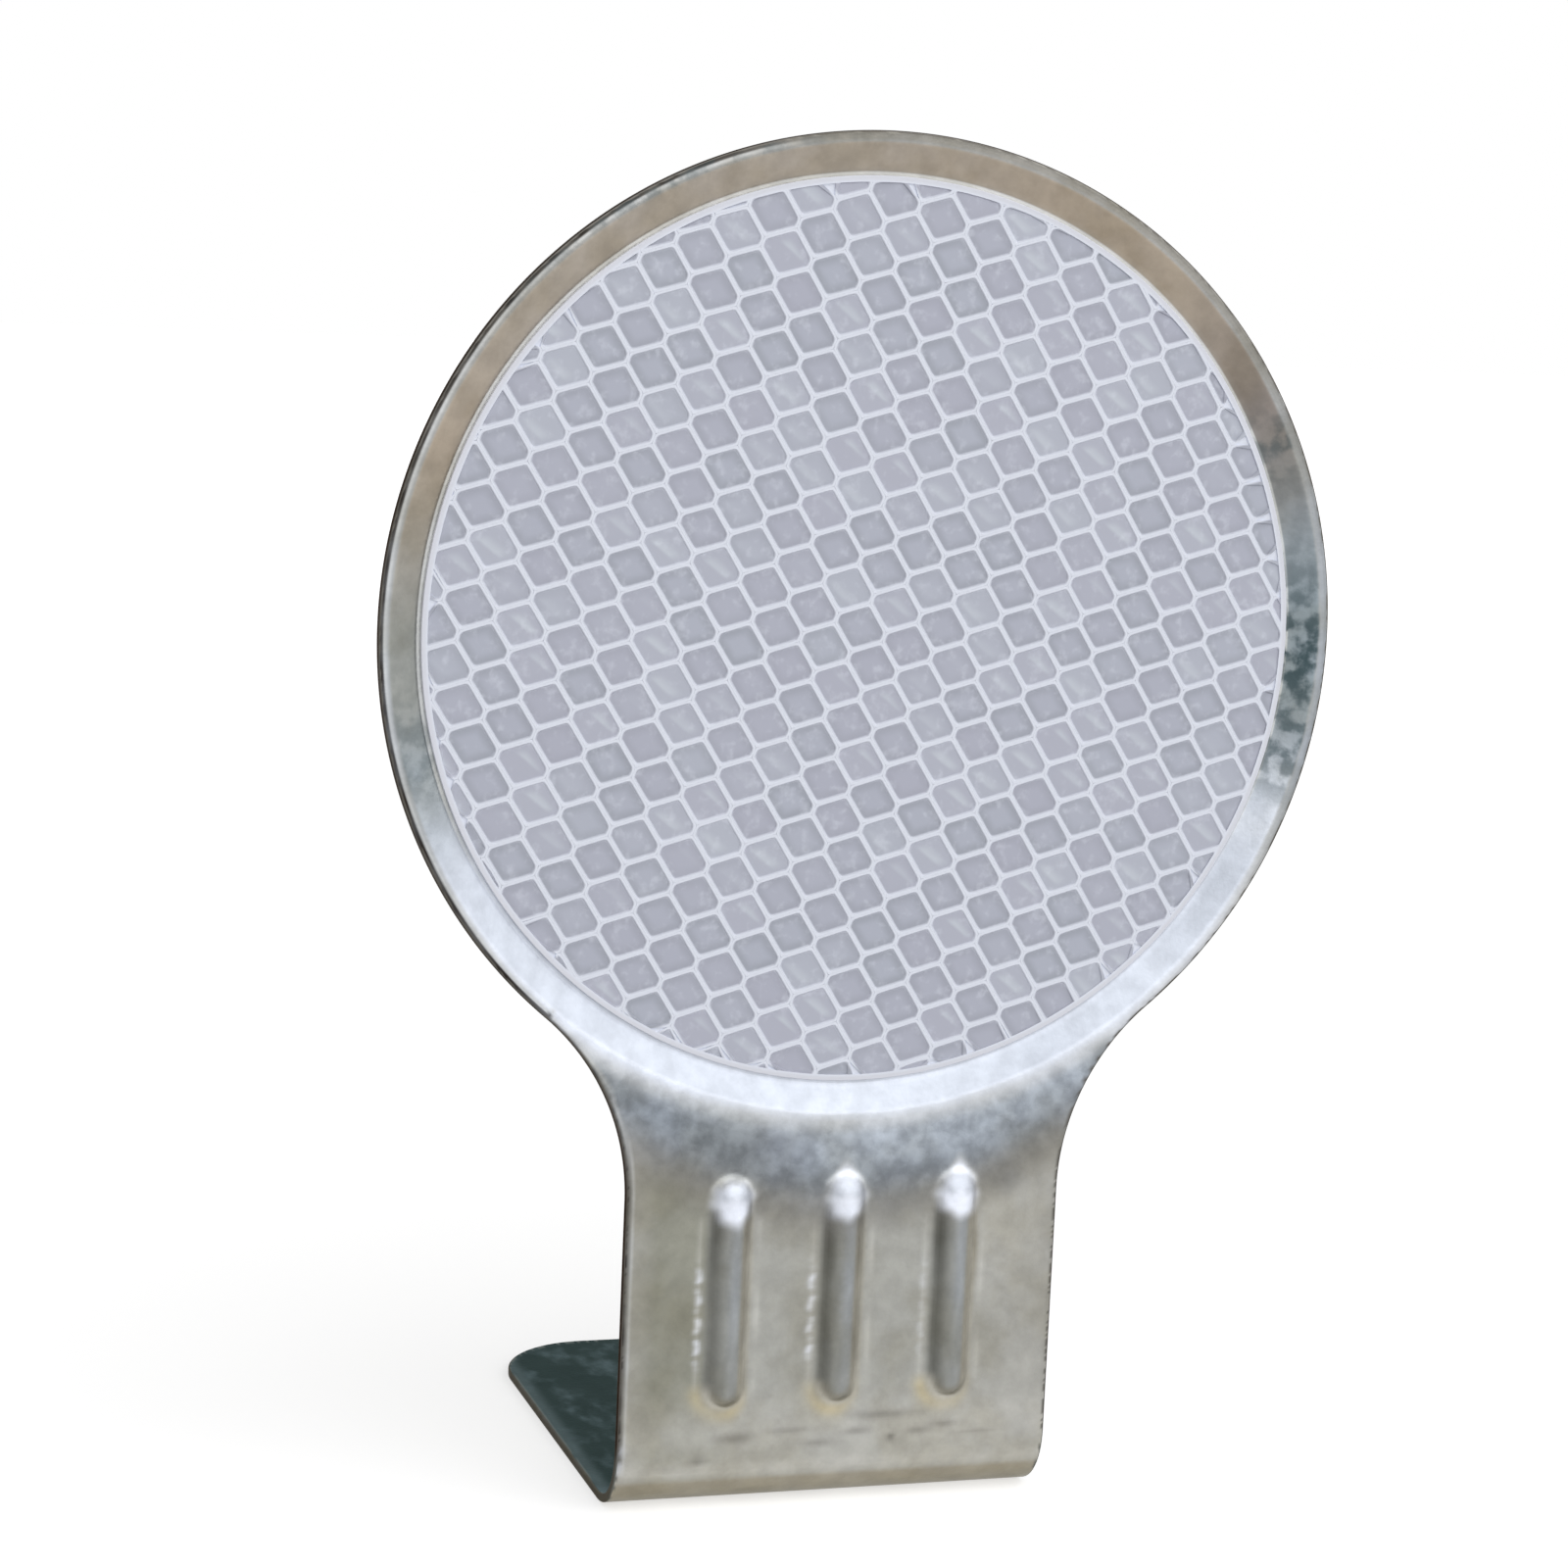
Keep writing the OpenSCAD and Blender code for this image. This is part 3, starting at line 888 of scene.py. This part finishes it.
def dark_reflections(out, turn):
    """Strength of the painted dark reflections on the dish's slope, and of a faint one on the lip's upper
    left.
    """
    slope = sum(strength * hump(turn, middle, half) for middle, half, strength in SLOPE_DARK_REFLECTIONS)
    lip = 0.5 * hump(turn, 118.0, 20.0) * hump(out, 0.3, 0.6)
    return np.clip(slope * fade(out, *DARK_REFLECTION_OUT) + lip, 0.0, 1.0)


def front_tone(plate, points):
    """Colour and finish of the front. Places are in millimetres and angles in degrees.

    Out is the distance outside the dish's mouth, turn the angle round the head's centre from
    the right, anticlockwise, and below how far that is from straight down.
    """
    x = points[:, 0] / MM
    z = points[:, 2] / MM
    up = z - plate.head_height / MM
    out = np.hypot(x, up) - plate.mouth_radius / MM
    turn = np.degrees(np.arctan2(up, x))
    below = np.abs(turn + 90.0)
    tone = stops_tone(plate, NECK_STOPS, x)
    tone = lay_spots(plate, tone, NECK_LIGHTS, x, z)
    # Painted reflection of the shaded ground on the bend's lower part.
    tone = lay(tone, plate.bend_reflection, 0.9 * fade(z, 4.4, 3.4))
    tone, white, dull = bead_tone(plate, tone, x, z)
    topped = tone
    # Painted shade where the bend begins, the nick and its painted highlights.
    tone = lay_spots(plate, tone, BEND_MARKS, x, z)
    tone, spangle = lay_spangle(plate, tone, x, z, out, below)
    tone, frosted = lay_dish(plate, tone, out, turn, below)
    tone = lay(tone, topped, white)
    tone = lay_outline(plate, tone, x, z, turn)
    frosted = np.maximum(frosted, np.maximum(white, dull))
    return tone, np.stack([dark_reflections(out, turn), spangle * (1 - white), frosted], axis=-1)


def paint_patch(plate, points, part, through):
    """Colour and finish of one patch's points.

    The finish is the strength of the painted dark reflections, of spangle, and of frosting, which makes the
    zinc rougher, or, on the foot, of painted glints.
    """
    if part == "front":
        return front_tone(plate, points)
    zero = 0 * points[:, 0]
    height = points[:, 2] / MM
    plain = np.tile(np.array(plate.zinc), (len(points), 1))
    if part == "back":
        return plain, np.stack([zero, zero + BACK_SPANGLE, zero], axis=-1)
    if part == "shaded_foot_top":
        # The bend's inside and the foot's top are painted dark as shade, lighter along the sides, and their
        # finish carries the painted glints.
        low = fade(height, 8.0, 5.0)
        side = (plate.panel_width / 2 - np.abs(points[:, 0])) / MM
        tone = lay(plain, plate.shaded_foot_top, low)
        tone = lay(tone, plate.foot_side, 0.7 * low * fade(side, 2.4, 0.8))
        return tone, np.stack([zero, zero, low], axis=-1)
    tone = lay(plain, plate.cut, 0.8 + 0.2 * fade(np.abs(through - 0.5), 0.5, 0.38))
    return lay(tone, plate.cut_low, 0.9 * fade(height, 9.0, 6.0)), np.stack([zero, zero, zero], axis=-1)


def around(head, neck, foot):
    """Values along the whole outline: round the head, down the left, round the foot and up the right."""
    above = [head[-1, COLUMNS - 1 :], neck[::-1, 0]]
    return np.concatenate([*above, foot[1:, 0], foot[-1, 1:], foot[-2:0:-1, -1], neck[:-1, -1]])


def build_plate(plate):
    """The whole plate: three front patches, the same moved back through the sheet, and the edge band."""
    inset = plate.edge_radius
    column = (plate.panel_width / 2 - inset) * np.linspace(-1.0, 1.0, COLUMNS)
    head, head_normal = head_patch(plate, inset, column)
    neck, neck_normal = neck_patch(plate, inset, column)
    foot, foot_normal = foot_patch(plate, inset, column)
    rim = around(head, neck, foot)
    normal = around(head_normal, neck_normal, foot_normal)
    band, through = edge_band(plate, rim, normal, outline_outward(plate, rim))
    patches = (
        (head, True, "front"),
        (head - plate.thickness * head_normal, True, "back"),
        (neck, False, "front"),
        (neck - plate.thickness * neck_normal, False, "back"),
        (foot, False, "front"),
        (foot - plate.thickness * foot_normal, False, "shaded_foot_top"),
        (band, True, "edge"),
    )
    points, tones, finishes, faces, slots = [], [], [], [], []
    start = 0
    for patch, closed, kind in patches:
        flat = patch.reshape(-1, 3)
        tone, finish = paint_patch(plate, flat, kind, through.ravel())
        squares = grid_faces(*patch.shape[:2], start, closed)
        points.append(flat)
        tones.append(tone)
        finishes.append(finish)
        faces.append(squares)
        slots.append(np.full(len(squares), SLOT_OF[kind]))
        start += len(flat)
    points = np.concatenate(points) - (0.0, panel_front(plate), 0.0)
    values = {"tone": np.concatenate(tones), "finish": np.concatenate(finishes)}
    faces = np.concatenate(faces).tolist()
    return mesh_object("galvanised_plate", points, faces, values, np.concatenate(slots))


def cell_sides(film):
    """Outward normals and distances of a cell's six sides from its centre, at the walls' middle lines.

    Two short sides stand across the row and four long ones slant to a tip above and below.
    """
    half = film.cell_width / 2
    tip = film.row_pitch - film.cell_side / 2
    fall = (tip - film.cell_side / 2) / half
    size = math.hypot(fall, 1.0)
    slant = np.array([fall, 1.0]) / size
    signs = np.array([[1, 1], [-1, 1], [-1, -1], [1, -1]])
    normals = np.concatenate([[[1.0, 0.0], [-1.0, 0.0]], signs * slant])
    distances = np.concatenate([[half, half], np.full(4, tip / size)])
    return normals, distances


def cell_outline(film):
    """Eighteen points of a cell's outline: its six corners, each with a point a step away on both sides."""
    half = film.cell_width / 2
    low = film.cell_side / 2
    tip = film.row_pitch - low
    corners = np.array([[half, -low], [half, low], [0, tip], [-half, low], [-half, -low], [0, -tip]])
    ahead = np.roll(corners, -1, axis=0) - corners
    ahead *= CORNER_STEP / np.linalg.norm(ahead, axis=-1, keepdims=True)
    points = np.stack([corners - np.roll(ahead, 1, axis=0), corners, corners + ahead], axis=1)
    return points.reshape(-1, 2)


def row_turn(film):
    """Matrix that turns a place in a cell, along its row and across it, to the disc's own axes."""
    cos = math.cos(film.row_angle)
    sin = math.sin(film.row_angle)
    return np.array([[cos, sin], [-sin, cos]])


def cell_centres(film, reach):
    """Centres of the cells within reach of the disc's centre. Every other row is moved half a cell along."""
    count = int(reach / film.row_pitch) + 2
    row, place = np.meshgrid(np.arange(-count, count + 1), np.arange(-count, count + 1), indexing="ij")
    along = (place + 0.5 * (row % 2)) * film.cell_width
    up = row * film.row_pitch
    rows = np.stack([along.ravel(), up.ravel()], axis=-1)
    centres = rows @ row_turn(film) + np.array([film.shift_right, film.shift_up])
    return centres[np.linalg.norm(centres, axis=-1) < reach]


def cell_anchors(film, centres, circle, steps=41):
    """The middle of each cell's part inside the circle, and whether there is such a part.

    It is the mean of the points of a fine lattice that lie in the cell and in the circle.
    A cell is convex, so this point is inside it, and a whole cell's is its centre.
    """
    normals, distances = cell_sides(film)
    side = np.linspace(-1.0, 1.0, steps) * film.row_pitch
    across, up = np.meshgrid(side, side)
    lattice = np.stack([across.ravel(), up.ravel()], axis=-1)
    lattice = lattice[(lattice @ normals.T < distances - CUP_GAP).all(axis=-1)]
    places = centres[:, None, :] + lattice @ row_turn(film)
    inside = (np.linalg.norm(places, axis=-1) < circle)[..., None]
    count = inside.sum(axis=1)
    return (places * inside).sum(axis=1) / np.maximum(count, 1), count[:, 0] > 0


def ray_reach(film, anchors, centres, directions, inset, circle, sharpness, parallel=1e-6):
    """Distance from each anchor, along each direction, to its cell's inset outline or to the circle.

    It is the power mean of the distances to the six sides and to the circle, with the
    sharpness as its negative exponent: the nearest of them, with the corners rounded off.
    A side that the direction runs along or away from is never met.
    """
    normals, distances = cell_sides(film)
    turned = normals @ row_turn(film)
    room = np.maximum(distances - inset - (anchors - centres) @ turned.T, CUP_GAP)
    speed = directions @ turned.T
    side = np.where(speed > parallel, room[:, None, :] / np.maximum(speed, parallel), np.inf)
    along = np.sum(anchors[:, None, :] * directions, axis=-1)
    spare = circle**2 - np.sum(anchors**2, axis=-1)
    ring = -along + np.sqrt(along**2 + np.maximum(spare, CUP_GAP**2)[:, None])
    every = np.concatenate([side, ring[:, :, None]], axis=-1)
    nearest = every.min(axis=-1, keepdims=True)
    return nearest[..., 0] * np.sum((nearest / every) ** sharpness, axis=-1) ** (-1.0 / sharpness)


def build_cups(plate, film):
    """The cells as closed cups: points as cell by ring by corner, and each point's place in its cell.

    A cup's outlines are distances from a point inside its cell, so each is a function of
    the cell and of the direction. Neighbouring cups all but touch along their walls' middles.
    A place is along the row, across it, and the cell's chance number.
    """
    inner = film.radius - film.rim
    centres = cell_centres(film, film.radius + film.row_pitch)
    anchors, inside = cell_anchors(film, centres, inner - CUP_GAP)
    centres = centres[inside]
    anchors = anchors[inside]
    directions = centres[:, None, :] + cell_outline(film) @ row_turn(film) - anchors[:, None, :]
    directions /= np.linalg.norm(directions, axis=-1, keepdims=True)
    face = plate.dish_depth - film.thickness
    floor = face + film.ridge
    under_rim = inner + film.rim / 2
    half_wall = film.wall / 2
    rings = (
        (CUP_GAP, under_rim, HIDDEN_CORNERS, floor + CUP_BACK),
        (CUP_GAP, under_rim, HIDDEN_CORNERS, face + CUP_GAP),
        (half_wall - RIDGE_SLOPE, inner, SEEN_CORNERS, face + CUP_GAP),
        (half_wall + RIDGE_SLOPE, inner - RIDGE_SLOPE, SEEN_CORNERS, floor),
    )
    layers = []
    for inset, circle, sharpness, depth in rings:
        reach = ray_reach(film, anchors, centres, directions, inset, circle, sharpness)
        flat = anchors[:, None, :] + reach[..., None] * directions
        layers.append(np.stack([flat[..., 0], np.full_like(reach, depth), flat[..., 1]], axis=-1))
    cups = np.stack(layers, axis=1)
    in_cell = (cups[..., [0, 2]] - centres[:, None, None, :]) @ row_turn(film).T
    chance = np.random.default_rng(CELL_SEED).random(len(cups))[:, None, None] + 0 * in_cell[..., 0]
    return cups, np.concatenate([in_cell, chance[..., None]], axis=-1)


def cup_faces(cells, levels, count):
    """Faces of closed cups of levels by count points each: bands of squares, a back and a floor."""
    starts = np.arange(cells)[:, None] * levels * count
    bands = grid_faces(levels, count, 0, True)[None] + starts[:, None]
    backs = starts + np.arange(count)
    floors = starts + (levels - 1) * count + np.arange(count)[::-1]
    return bands.reshape(-1, 4).tolist() + backs.tolist() + floors.tolist()


def build_film(plate, film):
    """The film: a base disc with a raised rim, and one closed cup for each cell, ridge to floor."""
    cups, places = build_cups(plate, film)
    base, base_faces = film_base(plate, film)
    points = np.concatenate([cups.reshape(-1, 3), base]) + (0.0, -panel_front(plate), plate.head_height)
    outside = np.full((len(base), 3), film.radius)
    values = {"cell_place": np.concatenate([places.reshape(-1, 3), outside])}
    faces = cup_faces(*cups.shape[:3]) + (base_faces + cups.size // 3).tolist()
    return mesh_object("honeycomb_film", points, faces, values, smooth=False)


def film_base(plate, film, round_steps=3, angles=240):
    """The film's base disc as rings: flat under the cells, a raised rim, a rounded edge and a flat back."""
    inner = film.radius - film.rim
    back = plate.dish_depth
    face = back - film.thickness
    under = face + film.ridge + CUP_BACK / 2
    lean = np.linspace(0.0, np.pi / 2, round_steps + 1)
    edge_r = film.radius - FILM_EDGE + FILM_EDGE * np.sin(lean)
    edge_d = face + FILM_EDGE - FILM_EDGE * np.cos(lean)
    radius = np.concatenate([[0.0, inner, inner], edge_r, [film.radius, 0.0]])
    depth = np.concatenate([[under, under, face], edge_d, [back, back]])
    turn = np.linspace(0.0, 2 * np.pi, angles, endpoint=False)
    points = [radius[:, None] * np.cos(turn), depth[:, None] + 0 * turn, radius[:, None] * np.sin(turn)]
    return np.stack(points, axis=-1).reshape(-1, 3), grid_faces(len(radius), len(turn), 0, True)


class NodeTree:
    """Short ways to add nodes to a material or world and join them."""

    def __init__(self, owner):
        owner.use_nodes = True
        self.owner = owner
        self.tree = owner.node_tree
        self.tree.nodes.clear()

    def add(self, kind, values=None, **settings):
        """A node of that kind, with its settings and its input values or links."""
        node = self.tree.nodes.new(kind)
        for key, value in settings.items():
            setattr(node, key, value)
        for key, value in (values or {}).items():
            self.set(node.inputs[key], value)
        return node

    def set(self, socket, value):
        """Gives a socket its value, or joins it to another node's output."""
        if isinstance(value, bpy.types.NodeSocket):
            self.tree.links.new(value, socket)
        elif socket.type == "RGBA":
            socket.default_value = (*value[:3], 1.0)
        else:
            socket.default_value = value

    def math(self, operation, *values):
        """The result of a Math node on numbers or outputs."""
        return self.add("ShaderNodeMath", dict(enumerate(values)), operation=operation).outputs[0]

    def times(self, *values):
        """The product of two numbers or outputs."""
        return self.math("MULTIPLY", *values)

    def line(self, value, factor, offset):
        """The value times the factor, plus the offset."""
        return self.math("MULTIPLY_ADD", value, factor, offset)

    def parts(self, vector):
        """The three parts of a vector."""
        return self.add("ShaderNodeSeparateXYZ", {0: vector}).outputs

    def stretch(self, vector, factors):
        """A vector or colour with each part times its own factor."""
        return self.add("ShaderNodeVectorMath", {0: vector, 1: factors}, operation="MULTIPLY").outputs[0]

    def ramp(self, value, low, high):
        """A smooth step: 0 where the value is low and 1 where it is high."""
        inputs = {"Value": value, "From Min": low, "From Max": high}
        return self.add("ShaderNodeMapRange", inputs, interpolation_type="SMOOTHSTEP").outputs[0]

    def mix(self, factor, first, second):
        """The first colour where the factor is 0, and the second where it is 1."""
        node = self.add("ShaderNodeMix", data_type="RGBA")
        self.set(node.inputs["Factor"], factor)
        colours = [socket for socket in node.inputs if socket.type == "RGBA"]
        self.set(colours[0], first)
        self.set(colours[1], second)
        return next(socket for socket in node.outputs if socket.type == "RGBA")

    def noise(self, place, scale, detail):
        """Soft noise from 0 to 1, with scale features to the metre."""
        inputs = {"Vector": place, "Scale": scale, "Detail": detail}
        return self.add("ShaderNodeTexNoise", inputs).outputs["Fac"]

    def attribute(self, name):
        """The three values that mesh_object kept at the points under that name."""
        return self.add("ShaderNodeAttribute", attribute_name=name).outputs["Vector"]

    def surface(self, inputs):
        """Ends a material with a Principled shader that has these inputs, and returns the material."""
        shader = self.add("ShaderNodeBsdfPrincipled", inputs)
        self.add("ShaderNodeOutputMaterial", {"Surface": shader.outputs[0]})
        return self.owner


def plate_material(plate, kind, edge_tint):
    """Galvanised sheet: the painted tones, broken up by clouds, painted dark reflections, crystals and fine
    grain.

    The painted dark reflections get ragged edges, and the foot's shaded side gets long painted
    glints. The brightness swings with the crystals, most in the spangle, and with the clouds, least
    where the zinc is frosted, and frosted zinc is rougher.
    """
    nodes = NodeTree(bpy.data.materials.new(kind))
    tone = nodes.attribute("tone")
    patches, spangle, frosted = nodes.parts(nodes.attribute("finish"))
    place = nodes.add("ShaderNodeTexCoord").outputs["Object"]
    cloud = nodes.noise(place, scale=130.0, detail=4.0)
    broken = nodes.noise(place, scale=420.0, detail=5.0)
    fine = nodes.noise(place, scale=1900.0, detail=2.0)
    crystals = nodes.add("ShaderNodeTexVoronoi", {"Vector": place, "Scale": 800.0}).outputs["Color"]
    plain = nodes.math("SUBTRACT", 1.0, frosted)
    warmth = nodes.times(nodes.ramp(cloud, low=0.6, high=0.35), plain)
    colour = nodes.mix(warmth, tone, nodes.stretch(tone, plate.cloud_tint))
    # The painted dark reflections, with ragged edges.
    dark = nodes.times(nodes.ramp(broken, low=0.62, high=0.42), patches)
    colour = nodes.mix(dark, colour, plate.patch)
    if kind == "shaded_sheet":
        # Painted glints on the foot's dark top.
        blotch = nodes.noise(nodes.stretch(place, (1.0, 0.6, 1.0)), scale=340.0, detail=4.0)
        glint = nodes.times(nodes.ramp(blotch, low=0.44, high=0.84), frosted)
        colour = nodes.mix(glint, colour, plate.foot_glint)
    ragged = nodes.ramp(broken, low=0.3, high=0.7)
    mottled = nodes.math("SUBTRACT", nodes.line(nodes.parts(crystals)[0], 0.2, ragged), 0.6)
    bright = nodes.line(mottled, nodes.line(spangle, factor=0.32, offset=0.14), offset=0.95)
    swell = nodes.math("SUBTRACT", cloud, 0.5)
    bright = nodes.line(swell, nodes.line(plain, factor=0.42, offset=0.1), offset=bright)
    bright = nodes.line(fine, factor=0.1, offset=bright)
    scaled = nodes.add("ShaderNodeVectorMath", {0: colour, "Scale": bright}, operation="SCALE")
    bump = nodes.add("ShaderNodeBump", {"Height": fine, "Strength": 0.12, "Distance": 0.0002})
    roughness = nodes.line(cloud, factor=0.16, offset=0.24)
    inputs = {
        "Base Color": scaled.outputs[0],
        "Metallic": 1.0,
        "Specular Tint": edge_tint,
        "Roughness": nodes.line(frosted, factor=0.22, offset=roughness),
        "Normal": bump.outputs[0],
    }
    return nodes.surface(inputs)


def side_room(nodes, film, along, up):
    """Distance from a place in a cell to the nearest of its six sides, with rounded corners.

    The cell is the same left and right, up and down, so one short and one long side do.
    """
    normals, distances = cell_sides(film)
    lean, rise = normals[2]
    rounded = nodes.math("SQRT", nodes.line(along, along, CELL_CORNER**2))
    short = nodes.math("SUBTRACT", distances[0], nodes.math("ABSOLUTE", along))
    slant = nodes.line(rounded, factor=-lean, offset=distances[2])
    slant = nodes.line(nodes.math("ABSOLUTE", up), factor=-rise, offset=slant)
    return nodes.math("SMOOTH_MIN", short, slant, CELL_CORNER)


def film_material(plate, film):
    """Prismatic film: grey cells between pale walls, and a plain pale rim.

    The place in a cell gives the distance to its nearest wall. That distance, the cell's
    chance number and a crease across the cell give the colour.
    """
    nodes = NodeTree(bpy.data.materials.new("reflective_film"))
    along, up, chance = nodes.parts(nodes.attribute("cell_place"))
    room = side_room(nodes, film, along, up)
    half_wall = film.wall / 2
    wall = nodes.ramp(room, low=half_wall + WALL_BLUR, high=half_wall - WALL_BLUR)
    middle = nodes.ramp(room, low=half_wall + WALL_BLUR, high=half_wall + 2 * film.wall)
    cell = nodes.mix(middle, film.cell_edge, film.cell)
    lighter = nodes.mix(nodes.ramp(chance, low=0.35, high=1.0), cell, film.cell_light)
    other = nodes.math("FRACT", nodes.times(chance, CHANCE_STEPS))
    cell = nodes.mix(nodes.times(other, 0.55), lighter, film.cell_tint)
    shift = nodes.line(other, factor=0.0022, offset=-0.0011)
    crease = nodes.math("SUBTRACT", nodes.line(along, factor=0.32, offset=up), shift)
    over = nodes.ramp(crease, low=0.0013, high=0.0)
    under = nodes.ramp(crease, low=-0.0005, high=0.0)
    creased = nodes.ramp(chance, low=0.55, high=0.95)
    streak = nodes.times(nodes.times(over, under), creased)
    cell = nodes.mix(nodes.times(streak, middle), cell, film.crease)
    colour = nodes.mix(wall, cell, film.wall_colour)
    place = nodes.add("ShaderNodeTexCoord").outputs["Object"]
    mottle = nodes.ramp(nodes.noise(place, scale=900.0, detail=3.0), low=0.5, high=0.8)
    colour = nodes.mix(nodes.times(mottle, 0.3), colour, film.wall_colour)
    right, _, height = nodes.parts(place)
    height = nodes.math("SUBTRACT", height, plate.head_height)
    square = nodes.line(height, height, nodes.times(right, right))
    inner = film.radius - film.rim
    rim = nodes.ramp(nodes.math("SQRT", square), low=inner, high=inner + 2 * WALL_BLUR)
    colour = nodes.mix(rim, colour, film.rim_colour)
    return nodes.surface({"Base Color": colour, "Roughness": 0.35, "Specular IOR Level": 0.3})


def bearing(turn, rise):
    """Direction from the marker towards something in front of it, turned to the right and raised."""
    return Vector((math.sin(turn) * math.cos(rise), -math.cos(turn) * math.cos(rise), math.sin(rise)))


def place_camera(plate, studio):
    """The camera that sees the marker as the photograph does."""
    turn = studio.camera_turn
    roll = studio.camera_roll
    back = bearing(-turn, studio.camera_rise)
    sideways = Vector((math.cos(turn), -math.sin(turn), 0.0))
    upright = sideways.cross(-back)
    right = math.cos(roll) * sideways + math.sin(roll) * upright
    up = math.cos(roll) * upright - math.sin(roll) * sideways
    target = Vector((studio.target_right, -panel_front(plate), studio.target_height))
    camera = bpy.data.objects.new("photo_camera", bpy.data.cameras.new("photo_camera"))
    camera.data.lens = studio.lens
    camera.data.sensor_width = SENSOR
    camera.data.clip_start = NEAREST
    camera.matrix_world = Matrix((right, up, back)).transposed().to_4x4()
    camera.matrix_world.translation = target + studio.camera_distance * back
    bpy.context.scene.collection.objects.link(camera)
    bpy.context.scene.camera = camera


def soft_light(studio):
    """The large soft light: a rectangle in front of the marker, above it and to its right, that faces it."""
    light = bpy.data.lights.new("soft_light", "AREA")
    light.shape = "RECTANGLE"
    light.size = studio.light_width
    light.size_y = studio.light_height
    light.energy = studio.light_strength * math.pi * studio.light_width * studio.light_height
    away = bearing(studio.light_turn, studio.light_rise)
    lamp = bpy.data.objects.new("soft_light", light)
    lamp.location = Vector((0.0, 0.0, studio.target_height)) + studio.light_distance * away
    lamp.rotation_euler = away.to_track_quat("Z", "Y").to_euler()
    bpy.context.scene.collection.objects.link(lamp)


def seen_ray(nodes):
    """1 for a ray that sees, mirrors or looks through to a surface, and 0 for one that only lights it."""
    path = nodes.add("ShaderNodeLightPath")
    mirrored = nodes.math("MAXIMUM", path.outputs["Is Camera Ray"], path.outputs["Is Glossy Ray"])
    return nodes.math("MAXIMUM", mirrored, path.outputs["Is Transmission Ray"])


def white_world(studio):
    """A world that is white where it is seen, and a soft grey light otherwise."""
    world = bpy.data.worlds.new("studio")
    bpy.context.scene.world = world
    nodes = NodeTree(world)
    strength = nodes.line(seen_ray(nodes), 1.0 - studio.sky_strength, studio.sky_strength)
    shade = nodes.add("ShaderNodeBackground", {"Color": WHITE, "Strength": strength})
    nodes.add("ShaderNodeOutputWorld", {"Surface": shade.outputs[0]})


def studio_floor(studio):
    """The pale floor. Where it is seen, a glow that grows with distance tops its light up to white."""
    side = studio.floor_side / 2
    corners = np.array([[-side, -side, 0.0], [side, -side, 0.0], [-side, side, 0.0], [side, side, 0.0]])
    floor = mesh_object("studio_floor", corners, grid_faces(2, 2).tolist())
    nodes = NodeTree(bpy.data.materials.new("pale_floor"))
    place = nodes.add("ShaderNodeTexCoord").outputs["Object"]
    away = nodes.add("ShaderNodeVectorMath", {0: place}, operation="LENGTH").outputs["Value"]
    far = nodes.ramp(away, studio.glow_start, studio.glow_end)
    glow = nodes.line(far, studio.glow_far - studio.glow_near, studio.glow_near)
    inputs = {
        "Base Color": studio.floor_colour,
        "Roughness": 0.9,
        "Specular IOR Level": 0.0,
        "Emission Color": WHITE,
        "Emission Strength": nodes.times(seen_ray(nodes), glow),
    }
    floor.data.materials.append(nodes.surface(inputs))


class MARKER_OT_plate(bpy.types.Operator):
    """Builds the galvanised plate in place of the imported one"""

    bl_idname = "marker.plate"
    bl_label = "Galvanised plate"

    def execute(self, context):
        plate = context.scene.marker.plate
        piece = build_plate(plate)
        piece.data.materials.append(plate_material(plate, "galvanised_sheet", plate.edge_tint))
        piece.data.materials.append(plate_material(plate, "shaded_sheet", plate.foot_tint))
        piece.data.materials.append(plate_material(plate, "cut_edge", plate.cut_tint))
        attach(piece, BODY)
        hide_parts("marker_plate")
        return {"FINISHED"}


class MARKER_OT_film(bpy.types.Operator):
    """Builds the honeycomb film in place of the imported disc"""

    bl_idname = "marker.film"
    bl_label = "Honeycomb film"

    def execute(self, context):
        marker = context.scene.marker
        piece = build_film(marker.plate, marker.film)
        piece.data.materials.append(film_material(marker.plate, marker.film))
        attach(piece, BODY)
        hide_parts("reflective_disc")
        return {"FINISHED"}


class MARKER_OT_studio(bpy.types.Operator):
    """Sets up the camera, the soft light, the white world and the pale floor"""

    bl_idname = "marker.studio"
    bl_label = "Studio"

    def execute(self, context):
        studio = context.scene.marker.studio
        context.scene.view_settings.view_transform = "Standard"
        place_camera(context.scene.marker.plate, studio)
        white_world(studio)
        studio_floor(studio)
        soft_light(studio)
        return {"FINISHED"}


class MARKER_PT_panel(bpy.types.Panel):
    """The marker's tools and settings"""

    bl_idname = "MARKER_PT_panel"
    bl_label = "Reflective Driveway Marker"
    bl_space_type = "VIEW_3D"
    bl_region_type = "UI"
    bl_category = "Marker"

    def draw(self, context):
        marker = context.scene.marker
        for operator in STEPS:
            self.layout.operator(operator.bl_idname)
        for group in (marker.plate, marker.film, marker.studio):
            box = self.layout.box()
            for key in group.__annotations__:
                box.prop(group, key)


STEPS = (MARKER_OT_plate, MARKER_OT_film, MARKER_OT_studio)
CLASSES = (PlateSettings, FilmSettings, StudioSettings, MarkerSettings, *STEPS, MARKER_PT_panel)


def register():
    """Adds the classes and the scene's settings."""
    for cls in CLASSES:
        bpy.utils.register_class(cls)
    bpy.types.Scene.marker = PointerProperty(type=MarkerSettings)


def unregister():
    """Takes the scene's settings and the classes away again."""
    del bpy.types.Scene.marker
    for cls in reversed(CLASSES):
        bpy.utils.unregister_class(cls)


def main():
    """Builds every piece and the studio."""
    register()
    bpy.ops.marker.plate()
    bpy.ops.marker.film()
    bpy.ops.marker.studio()


if __name__ == "__main__":
    main()
